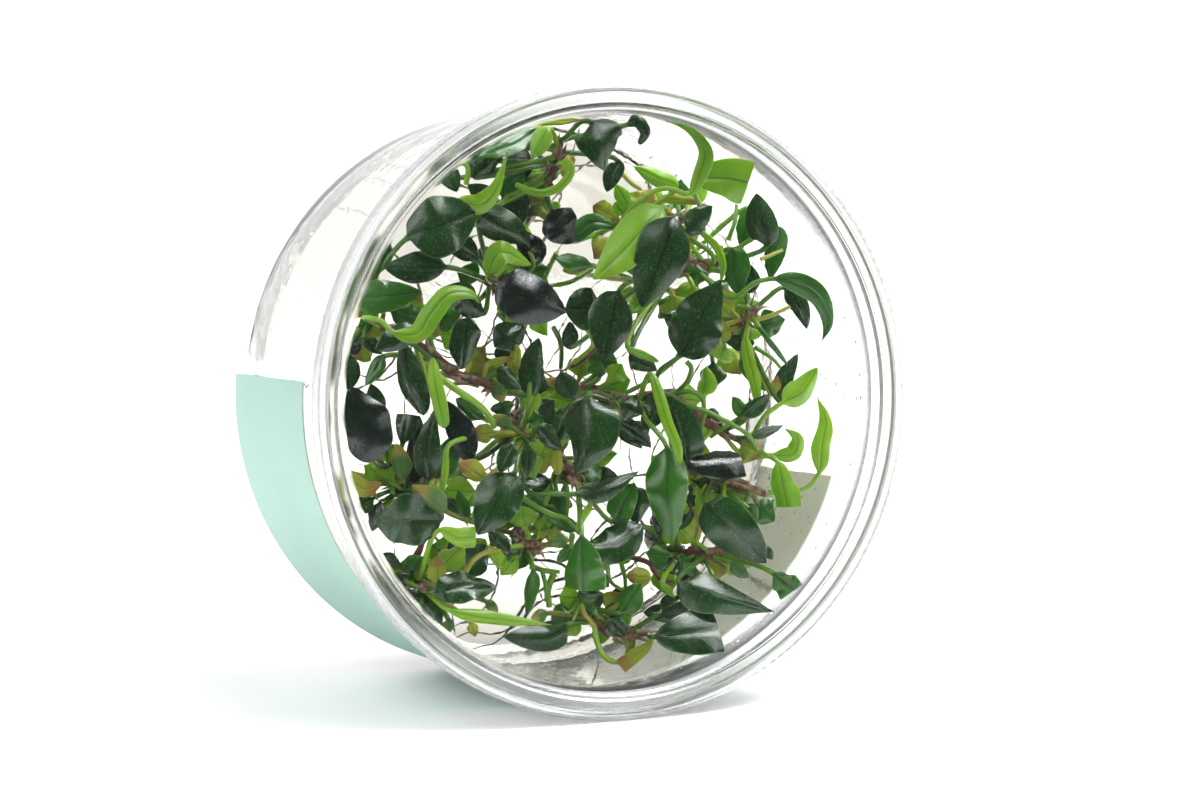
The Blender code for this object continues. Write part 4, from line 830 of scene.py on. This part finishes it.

# %% [markdown]
# ## Leaf finish
# The blades are leathery and glossy: nearly black where they look at the dark side of the room, with a
# fine pale stippling, painted shade darkening the groove over the midrib, faint side veins and a thin
# pale rim. Young leaves are light green, dying ones yellow and tan. An attribute made with each leaf
# tells the finish where it is: x runs across the blade from -1 to 1, y along it with the stalk below 0,
# and z is 1 on the upper side. Patterns that follow a bent blade need such a map, since Object
# coordinates know nothing of midribs.

# %% Leaf looks


def leaf_look(name, face, shade, back, stalk, edge, gloss=0.3, speck=0.4, glow=0.0, worn=None):
    look = new_look(name, gloss)
    chart = node(look, "ShaderNodeAttribute", attribute_name="leaf_map")
    parts = node(look, "ShaderNodeSeparateXYZ")
    join(look, chart.outputs["Vector"], parts.inputs[0])
    across = maths(look, "ABSOLUTE", parts.outputs["X"])
    along = parts.outputs["Y"]
    patches = stretch(look, spots(look, 60.0, 3.0), 0.35, 0.65, 0.0, 0.6)
    colour = mixed(look, patches, face, shade)
    phase = maths(look, "SUBTRACT", maths(look, "MULTIPLY", along, 46.0),
                  maths(look, "MULTIPLY", across, 13.0))
    veins = stretch(look, maths(look, "SINE", phase), 0.75, 1.0)
    colour = mixed(look, maths(look, "MULTIPLY", veins, 0.06), colour, edge)
    dots = stretch(look, spots(look, 3800.0, 1.0), 0.62, 0.72)
    colour = mixed(look, maths(look, "MULTIPLY", dots, speck), colour, (0.24, 0.40, 0.18))
    # Painted shade: a darker line over the midrib, standing in for the shade in its groove.
    groove = stretch(look, across, 0.02, 0.075, 1.0, 0.0)
    colour = mixed(look, maths(look, "MULTIPLY", groove, 0.6), colour, tuple(part * 0.5 for part in shade))
    rim = stretch(look, across, 0.93, 1.0)
    colour = mixed(look, maths(look, "MULTIPLY", rim, 0.7), colour, edge)
    if worn:
        ragged = maths(look, "ADD", along, maths(look, "MULTIPLY", spots(look, 420.0, 3.0), 0.5))
        colour = mixed(look, stretch(look, ragged, 0.75, 1.0), colour, worn)
    colour = mixed(look, stretch(look, parts.outputs["Z"], 0.4, 0.6, 1.0, 0.0), colour, back)
    colour = mixed(look, stretch(look, along, -0.06, 0.03, 1.0, 0.0), colour, stalk)
    skin = spots(look, 3800.0, 3.0)
    height = maths(look, "ADD", maths(look, "MULTIPLY", skin, 0.35), maths(look, "MULTIPLY", veins, -0.12))
    sheen = stretch(look, spots(look, 700.0), 0.3, 0.7, gloss - 0.07, gloss + 0.02)
    set_shader(look, Base_Color=colour, Roughness=sheen,
               Specular_IOR_Level=0.55, Subsurface_Weight=glow, Subsurface_Radius=(0.25, 1.0, 0.15))
    look.node_tree.nodes["Principled BSDF"].inputs["Subsurface Scale"].default_value = 0.0012
    set_bump(look, height, 0.6, 0.00015)
    return look


LOOKS = {
    "black": leaf_look("black leaf", (0.006, 0.022, 0.012), (0.003, 0.009, 0.006), (0.031, 0.070, 0.023),
                       (0.031, 0.093, 0.019), (0.046, 0.109, 0.046), 0.20, 0.1),
    "dark": leaf_look("dark leaf", (0.012, 0.074, 0.009), (0.005, 0.030, 0.005), (0.054, 0.132, 0.031),
                      (0.078, 0.202, 0.023), (0.109, 0.264, 0.046), 0.21),
    "mid": leaf_look("green leaf", (0.044, 0.200, 0.012), (0.016, 0.095, 0.007), (0.109, 0.264, 0.039),
                     (0.171, 0.372, 0.031), (0.248, 0.512, 0.078), 0.22, 0.25, 0.15),
    "light": leaf_look("young leaf", (0.360, 0.640, 0.025), (0.110, 0.360, 0.015), (0.310, 0.558, 0.078),
                       (0.326, 0.574, 0.046), (0.651, 0.800, 0.155), 0.25, 0.12, 0.3),
    "yellow": leaf_look("ageing leaf", (0.480, 0.500, 0.030), (0.190, 0.330, 0.020), (0.698, 0.651, 0.155),
                        (0.512, 0.480, 0.078), (0.800, 0.800, 0.232), 0.36, 0.1, 0.3, (0.36, 0.22, 0.035)),
    "tan": leaf_look("browning leaf", (0.078, 0.217, 0.023), (0.046, 0.124, 0.019), (0.310, 0.264, 0.078),
                     (0.186, 0.217, 0.031), (0.620, 0.434, 0.109), 0.34, 0.15, 0.2, (0.34, 0.28, 0.05)),
}
print("leaf looks:", ", ".join(LOOKS))

# %% [markdown]
# Stems are red-brown and a little glossy, ringed by the scars of old leaves, and wrapped in dry papery
# leaf bases. Roots are thin, olive to brown.

# %% Stem, sheath and root looks
bark = new_look("stem bark", 0.45)
tone = stretch(bark, spots(bark, 420.0, 4.0), 0.35, 0.65)
bark_colour = mixed(bark, tone, (0.085, 0.022, 0.016), (0.26, 0.115, 0.060))
set_shader(bark, Base_Color=bark_colour, Roughness=stretch(bark, tone, 0, 1, 0.32, 0.55))
set_bump(bark, spots(bark, 1500.0, 5.0), 0.5, 0.0002)
LOOKS["bark"] = bark

sheath = new_look("dry sheath", 0.6)
tone = stretch(sheath, spots(sheath, 700.0, 5.0), 0.35, 0.65)
set_shader(sheath, Base_Color=mixed(sheath, tone, (0.16, 0.065, 0.050), (0.52, 0.40, 0.24)))
set_bump(sheath, spots(sheath, 2200.0, 5.0), 0.6, 0.0002)
LOOKS["sheath"] = sheath

root = new_look("root skin", 0.5)
tone = stretch(root, spots(root, 260.0, 3.0), 0.35, 0.65)
set_shader(root, Base_Color=mixed(root, tone, (0.10, 0.11, 0.07), (0.30, 0.27, 0.15)))
set_bump(root, spots(root, 2600.0, 3.0), 0.4, 0.0001)
LOOKS["root"] = root
print("stem looks:", bark.name, sheath.name, root.name)

# %% [markdown]
# ## One sleeve, bent into every leaf and stalk
# All these leaves are one form: a round stalk that flattens into a blade. So one master is modelled,
# a closed sleeve of 24 sides, cut into rings by subdividing its long edges. Each leaf is a copy of
# that mesh whose points are carried to their own midline: round below, flat and grooved above. Modelling
# once and copying keeps the topology clean and the leaves alike without being the same.

# %% Model the master sleeve
AROUND = 24
LEAF_RINGS = 40
LOW_RINGS = 22


def make_sleeve(name, around, rings):
    bpy.ops.object.select_all(action="DESELECT")
    bpy.ops.mesh.primitive_cylinder_add(
        vertices=around, radius=1, depth=1, location=(0, 0, 0.5), end_fill_type="NGON")
    piece = bpy.context.object
    piece.name = name
    bpy.ops.object.transform_apply(location=True, rotation=False, scale=False)
    bpy.ops.object.mode_set(mode="EDIT")
    bpy.ops.mesh.select_mode(type="EDGE")
    bpy.ops.mesh.select_all(action="DESELECT")
    bpy.ops.object.mode_set(mode="OBJECT")
    for edge in piece.data.edges:
        a, b = (piece.data.vertices[i].co for i in edge.vertices)
        edge.select = abs(a.z - b.z) > 0.5
    bpy.ops.object.mode_set(mode="EDIT")
    bpy.ops.mesh.subdivide(number_cuts=rings - 2)
    bpy.ops.object.mode_set(mode="OBJECT")
    piece.hide_render = True
    print(name, "has", len(piece.data.vertices), "points")
    return piece


leaf_sleeve = make_sleeve("leaf_sleeve", AROUND, LEAF_RINGS)
low_sleeve = make_sleeve("low_sleeve", 16, LOW_RINGS)
thread_sleeve = make_sleeve("thread_sleeve", 8, 24)

# %% [markdown]
# The midline of a leaf starts on its stem. The blade's upper side is turned to the viewer, as these
# leaves all face the light at the lid, then rolled by the row's own angle. Width comes from two powers,
# one for how fast the blade opens and one for how fast it closes.

# %% Bend a sleeve into a leaf
STALK_RADIUS = 0.42
ARCH = 0.07
NEAR = 0.025                     # share of a row either side, for its direction
STALK_PART = 0.28                # share of the sleeve's rings that make the stalk
OUTLINES = {
    "oval": (0.55, 0.80), "ovate": (0.5, 0.95), "lance": (0.6, 1.1), "round": (0.5, 0.62),
    "spoon": (0.9, 0.60), "cut": (0.55, 0.12), "band": (0.3, 0.40)}


def stem_row(number):
    return smooth([seen(*place) for place in STEMS[number][1]])


def stem_radius(number, share):
    swell = 1.0 + 0.08 * math.sin(share * 40.0)
    return STEMS[number][0] / 2 * swell * min(1.0, 0.45 + 3.0 * (1 - share))


def leaf_row(leaf):
    """The dense row of a leaf's midline from its stem on, and the share of it at the blade's base."""
    blade = [seen(*place) for place in leaf.blade]
    if len(blade) == 2:
        middle = blade[0].lerp(blade[1], 0.5)
        blade.insert(1, middle + (EYE - middle).normalized() * (ARCH * (blade[1] - blade[0]).length))
    stalk = [seen(*place) for place in leaf.stalk]
    place, along = along_row(stem_row(leaf.stem), leaf.along)
    aim = (stalk + blade)[0] - place
    side = (aim - along * aim.dot(along)).normalized()
    start = place + side * stem_radius(leaf.stem, leaf.along) * 0.8
    return smooth([start, *stalk, *blade]), (1 + len(stalk)) / (len(stalk) + len(blade))


def blade_width(leaf, share):
    rise, fall = OUTLINES[leaf.outline]
    peak = rise / (rise + fall)
    top = peak**rise * (1 - peak)**fall
    return leaf.width / 2 * max(share, 0.0)**rise * max(1 - share, 0.0)**fall / top


def frames(row, shares, face):
    """Place, direction and upper side at each share; the upper side faces the eye at index face."""
    places = [along_row(row, share)[0] for share in shares]
    ways = [(along_row(row, share + NEAR)[0] - along_row(row, share - NEAR)[0]).normalized()
            for share in shares]
    ups = [None] * len(shares)
    order = list(range(face, len(shares))) + list(range(face - 1, -1, -1))
    for i in order:
        up = EYE - places[i] if i == face else ups[i - 1] if i > face else ups[i + 1]
        ups[i] = (up - ways[i] * up.dot(ways[i])).normalized()
    return list(zip(places, ways, ups))


def new_piece(name, mesh, look):
    """A scene object for a finished mesh, in one look."""
    piece = bpy.data.objects.new(name, mesh)
    scene.collection.objects.link(piece)
    mesh.materials.clear()
    mesh.materials.append(look)
    return piece


def bent_leaf(name, leaf, seed, sleeve=leaf_sleeve, rings=LEAF_RINGS):
    """A copy of the sleeve bent into one leaf, still in the jar's frame."""
    chance = random.Random(seed)
    turned = math.radians(leaf.roll + chance.uniform(-20, 20))
    fold, ripple, phase = chance.uniform(-0.65, 0.0), chance.uniform(0.05, 0.18), chance.uniform(0, 6)
    waves, lean, twist = chance.uniform(1.2, 2.6), chance.uniform(-0.08, 0.08), chance.uniform(-0.55, 0.55)
    row, base = leaf_row(leaf)
    end = 0.93 if leaf.outline == "cut" else 1.0
    steps = [k / (rings - 1) for k in range(rings)]
    blade = [(s - STALK_PART) / (1 - STALK_PART) for s in steps]
    cuts = [end * (1 - (1 - b) ** 1.15) if b > 0 else b / STALK_PART for b in blade]
    shares = [base + (1 - base) * t if t > 0 else base * s / STALK_PART for t, s in zip(cuts, steps)]
    middle = min(range(rings), key=lambda i: abs(cuts[i] - 0.4))
    along_leaf = frames(row, shares, middle)
    mesh = sleeve.data.copy()
    mesh.name = name
    chart = mesh.attributes.new("leaf_map", "FLOAT_VECTOR", "POINT")
    for point, mark in zip(mesh.vertices, chart.data):
        ring = round(point.co.z * (rings - 1))
        place, way, out = along_leaf[ring]
        t = cuts[ring]
        angle = math.atan2(point.co.y, point.co.x)
        x = math.copysign(abs(math.cos(angle)) ** 1.5, math.cos(angle))
        up = math.sin(angle)
        wide = blade_width(leaf, t) if t > 0 else 0.0
        radius = STALK_RADIUS * (1.25 if ring == 0 else 1.0) * (1.0 - 0.6 * max(t, 0.0) ** 0.5)
        flatness = min(1.0, wide / 1.6) if t > 0 else 0.0
        half = max(wide, radius if t < 0.5 else 0.02)
        out = Matrix.Rotation(turned * flatness + twist * max(t, 0.0), 3, way) @ out
        side = out.cross(way)
        thick = 0.17 * min(1.0, half) ** 0.5
        lift = up * (radius * (1 - flatness) + thick * flatness)
        groove = -0.26 * math.exp(-(x / 0.12) ** 2)
        wave = ripple * half * x * x * math.sin(waves * math.tau * t + phase + (1.3 if x > 0 else 0))
        lift += flatness * (fold * half * abs(x) ** 1.15 + groove + wave + lean * half * x)
        wobble = 1 + 0.05 * flatness * math.sin(6.0 * t + phase + 2 * x)
        across = math.cos(angle) * (1 - flatness) + x * flatness
        point.co = place + side * (half * across * wobble) + out * lift
        mark.vector = (x, t, 1.0 if up >= 0 else 0.0)
    return new_piece(name, mesh, LOOKS[leaf.colour])


def settle(piece):
    """From the jar's millimetres to the world's metres, smooth, with its normals made to agree."""
    bpy.ops.object.select_all(action="DESELECT")
    piece.select_set(True)
    bpy.context.view_layer.objects.active = piece
    piece.data.transform(jar)
    bpy.ops.object.mode_set(mode="EDIT")
    bpy.ops.mesh.select_all(action="SELECT")
    bpy.ops.mesh.normals_make_consistent(inside=False)
    bpy.ops.object.mode_set(mode="OBJECT")
    bpy.ops.object.shade_smooth_by_angle(angle=math.radians(60))
    return piece


for number, leaf in LEAVES.items():
    piece = settle(bent_leaf(f"blade_{number:02d}", leaf, number))
    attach(piece, "root")
    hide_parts(f"leaf_{number:02d}")
print("made", len(LEAVES), "large leaves")

# %% [markdown]
# ## Stems with what grows on them
# A stem is a thicker thread, ringed where leaves fell. Its small leaves, dry sheaths and roots are
# joined to it in one piece, as they have grown in one.

# %% Threads for stems, stalks and roots
BARE_STALK = (0.5, -0.5, 1.0)    # leaf_map of what has no blade


def thread(name, row, radius_at, look, sleeve=thread_sleeve):
    """A copy of a sleeve along a dense row; radius_at takes a share of it and an angle round it."""
    mesh = sleeve.data.copy()
    mesh.name = name
    chart = mesh.attributes.new("leaf_map", "FLOAT_VECTOR", "POINT")
    for point, mark in zip(mesh.vertices, chart.data):
        s = min(max(point.co.z, 0.0), 1.0)
        angle = math.atan2(point.co.y, point.co.x)
        place, along = along_row(row, s)
        out = EYE - place
        out = (out - along * out.dot(along)).normalized()
        side = out.cross(along)
        radius = radius_at(s, angle)
        point.co = place + side * (radius * math.cos(angle)) + out * (radius * math.sin(angle))
        mark.vector = BARE_STALK
    return new_piece(name, mesh, look)


def joined(name, parts):
    bpy.ops.object.select_all(action="DESELECT")
    for part in parts:
        part.select_set(True)
    bpy.context.view_layer.objects.active = parts[0]
    bpy.ops.object.join()
    piece = bpy.context.object
    piece.name = name
    return piece


def sighted(place):
    """The other way round from seen(): u, v and z of a place in the jar."""
    back = (EYE - AIM).normalized()
    upright = Vector((0, math.cos(tilt), math.sin(tilt)))
    right = upright.cross(back).normalized()
    ray = place - EYE
    spot = EYE - AIM + ray * (-(EYE - AIM).dot(back) / ray.dot(back))
    return spot.dot(right), spot.dot(back.cross(right)), place.z


def nearest_stem(place):
    """The stem whose midline passes closest to a place."""
    def distance(number):
        return min((spot - place).length for spot in STEM_ROWS[number])
    return min(STEM_ROWS, key=distance)


STEM_ROWS = {number: stem_row(number) for number in STEMS}
stem_sleeve = make_sleeve("stem_sleeve", 14, 90)
print("longest stem has", max(len(row) for row in STEM_ROWS.values()), "places")

# %% Grow the stems
SCALES, ROOTS, LOW_LEAVES = 15, 5, 17    # on each stem


def stem_tube(number):
    def radius_at(s, angle):
        scar = 0.10 * (1 - abs(math.sin(s * 38.0 + number))) ** 3
        lump = 0.12 * noise.noise(Vector((math.cos(angle) * 1.5, math.sin(angle) * 1.5, s * 40 + number)))
        return stem_radius(number, s) * (0.96 + scar + lump) * (0.0 if s in (0.0, 1.0) else 1.0) + 0.02
    return thread(f"tube_{number:02d}", STEM_ROWS[number], radius_at, LOOKS["bark"], stem_sleeve)


def sheaths(number, chance):
    """Dry leaf bases: short pointed scales that hug the stem and stand off at their tips."""
    made = []
    row = STEM_ROWS[number]
    for k in range(SCALES):
        share = 0.3 + 0.66 * (k + chance.random() * 0.6) / SCALES
        place, along = along_row(row, share)
        if place.z < GEL_TOP + 6:
            continue
        out = (EYE - place).normalized()
        upper = (out - along * out.dot(along)).normalized()
        side = Matrix.Rotation(chance.uniform(-2.2, 2.2), 3, along) @ upper
        radius = stem_radius(number, share)
        length = chance.uniform(1.8, 4.6)
        start = place + side * radius * 0.8
        tip = start + along * length + side * chance.uniform(0.3, 1.8)
        path = smooth([start, start + along * length * 0.5 + side * 0.25, tip])
        made.append(thread(f"scale_{number}_{k}", path, lambda s, angle: 0.55 * max(0.06, (1 - s) ** 0.7),
                           LOOKS["sheath"]))
    return made


def roots(number, chance):
    """Roots leave the foot of the stem and wander through the gel, or hang in the air above it."""
    made = []
    row = STEM_ROWS[number]
    for k in range(ROOTS):
        place, _ = along_row(row, 0.02 + 0.05 * k)
        heading = chance.uniform(0, math.tau)
        path = [place]
        level = chance.uniform(2.6, 9.5)
        for step in range(1, 7):
            heading += chance.uniform(-0.7, 0.7)
            ahead = path[-1] + Vector((math.cos(heading), math.sin(heading), 0)) * chance.uniform(3.0, 6.0)
            ahead.z = place.z + (level - place.z) * min(1.0, step / 3)
            limit = wall_radius(ahead.z) - WALL - 1.0
            flat_length = math.hypot(ahead.x, ahead.y)
            if flat_length > limit:
                ahead.x *= limit / flat_length
                ahead.y *= limit / flat_length
            path.append(ahead)
        thick = chance.uniform(0.16, 0.3)
        made.append(thread(f"root_{number}_{k}", smooth(path), lambda s, angle: thick * (1.05 - 0.75 * s),
                           LOOKS["root"]))
    return made


def low_leaves(number, chance):
    """Older leaves low on the stem, out of the light, which only show as green between the others."""
    made = []
    for k in range(LOW_LEAVES):
        root = 0.15 + 0.8 * k / LOW_LEAVES
        place, _ = along_row(STEM_ROWS[number], root)
        heading = chance.uniform(0, math.tau)
        reach = chance.uniform(4.0, 9.0)
        tips = []
        for part in (0.45, 1.0):
            spot = place + Vector((math.cos(heading), math.sin(heading), 0)) * reach * part
            spot.z = min(max(place.z + 3.0 + 2.5 * part, GEL_TOP + 5.0), 34.0)
            limit = wall_radius(spot.z) - WALL - 3.5
            reach_out = math.hypot(spot.x, spot.y)
            if reach_out > limit:
                spot.x *= limit / reach_out
                spot.y *= limit / reach_out
            tips.append(spot)
        colour = chance.choice(("dark", "mid", "mid", "light", "light", "light", "yellow", "yellow"))
        width, outline = chance.uniform(3.2, 5.6), chance.choice(("oval", "ovate", "lance"))
        made.append(Leaf(number, root, width, outline, colour, [sighted(tip) for tip in tips]))
    return made


belongs = {number: [] for number in STEMS}
for width, colour, places in STALKS:
    path = smooth([seen(*place) for place in places])
    belongs[nearest_stem(path[0].lerp(path[-1], 0.5))].append((width, colour, path))

for number in STEMS:
    chance = random.Random(100 + number)
    parts = [stem_tube(number)]
    mine = [leaf for leaf in SMALL + TINY if leaf.stem == number]
    parts += [bent_leaf(f"small_{number}_{k}", leaf, 1000 * number + k) for k, leaf in enumerate(mine)]
    parts += [bent_leaf(f"low_{number}_{k}", leaf, 500 * number + k, low_sleeve, LOW_RINGS)
              for k, leaf in enumerate(low_leaves(number, chance))]
    for width, colour, path in belongs[number]:
        parts.append(thread("stalk", path, lambda s, angle: width / 2 * (1 - 0.25 * s), LOOKS[colour]))
    parts += sheaths(number, chance) + roots(number, chance)
    piece = settle(joined(f"stem_grown_{number:02d}", parts))
    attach(piece, "root")
    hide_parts(f"stem_{number:02d}")
print("made", len(STEMS), "stems")

for master in (leaf_sleeve, low_sleeve, thread_sleeve, stem_sleeve):
    bpy.data.objects.remove(master)

# %% [markdown]
# ## Damp
# The jar is sealed, so water beads on the inside of the wall, most of it on the lower and right side.
# A small icosphere of 80 faces is copied, flattened a little against the wall, and all are joined in
# one piece. Where each bead sits is drawn at random with a fixed seed.

# %% Bead the walls with water
water = new_look("water", 0.0)
set_shader(water, Base_Color=(0.99, 0.995, 0.995), Transmission_Weight=1.0, IOR=1.33)


bpy.ops.object.select_all(action="DESELECT")
bpy.ops.mesh.primitive_ico_sphere_add(subdivisions=2, radius=1.0, location=(0, 0, 0))
one_bead = bpy.context.object


def bead(place, outwards, size):
    """A copy of the one bead, flattened onto a wall that faces outwards."""
    mesh = one_bead.data.copy()
    aim = outwards.to_track_quat("Z", "Y").to_matrix()
    for point in mesh.vertices:
        point.co = place + aim @ Vector((point.co.x, point.co.y, point.co.z * 0.8)) * size
    drop = bpy.data.objects.new("bead", mesh)
    scene.collection.objects.link(drop)
    return drop


BEADS = 420
chance = random.Random(7)
beads = []
for k in range(BEADS):
    angle = math.radians(chance.choice((-90, -75, -45, -25, -10, 15)) + chance.gauss(0, 16))
    low = k % 2
    z = GEL_TOP + 1.5 + (abs(chance.gauss(0, 5.0)) if low else chance.uniform(4, 32))
    size = chance.choice((0.16, 0.24, 0.38)) if low else chance.choice((0.15, 0.22, 0.34))
    radius = wall_radius(z) - WALL - 0.3 * size
    place = Vector((radius * math.cos(angle), radius * math.sin(angle), z))
    beads.append(bead(place, Vector((-math.cos(angle), -math.sin(angle), 0)), size))
bpy.data.objects.remove(one_bead)
drops = joined("water_beads", beads)
settle(drops)
show(drops, water)
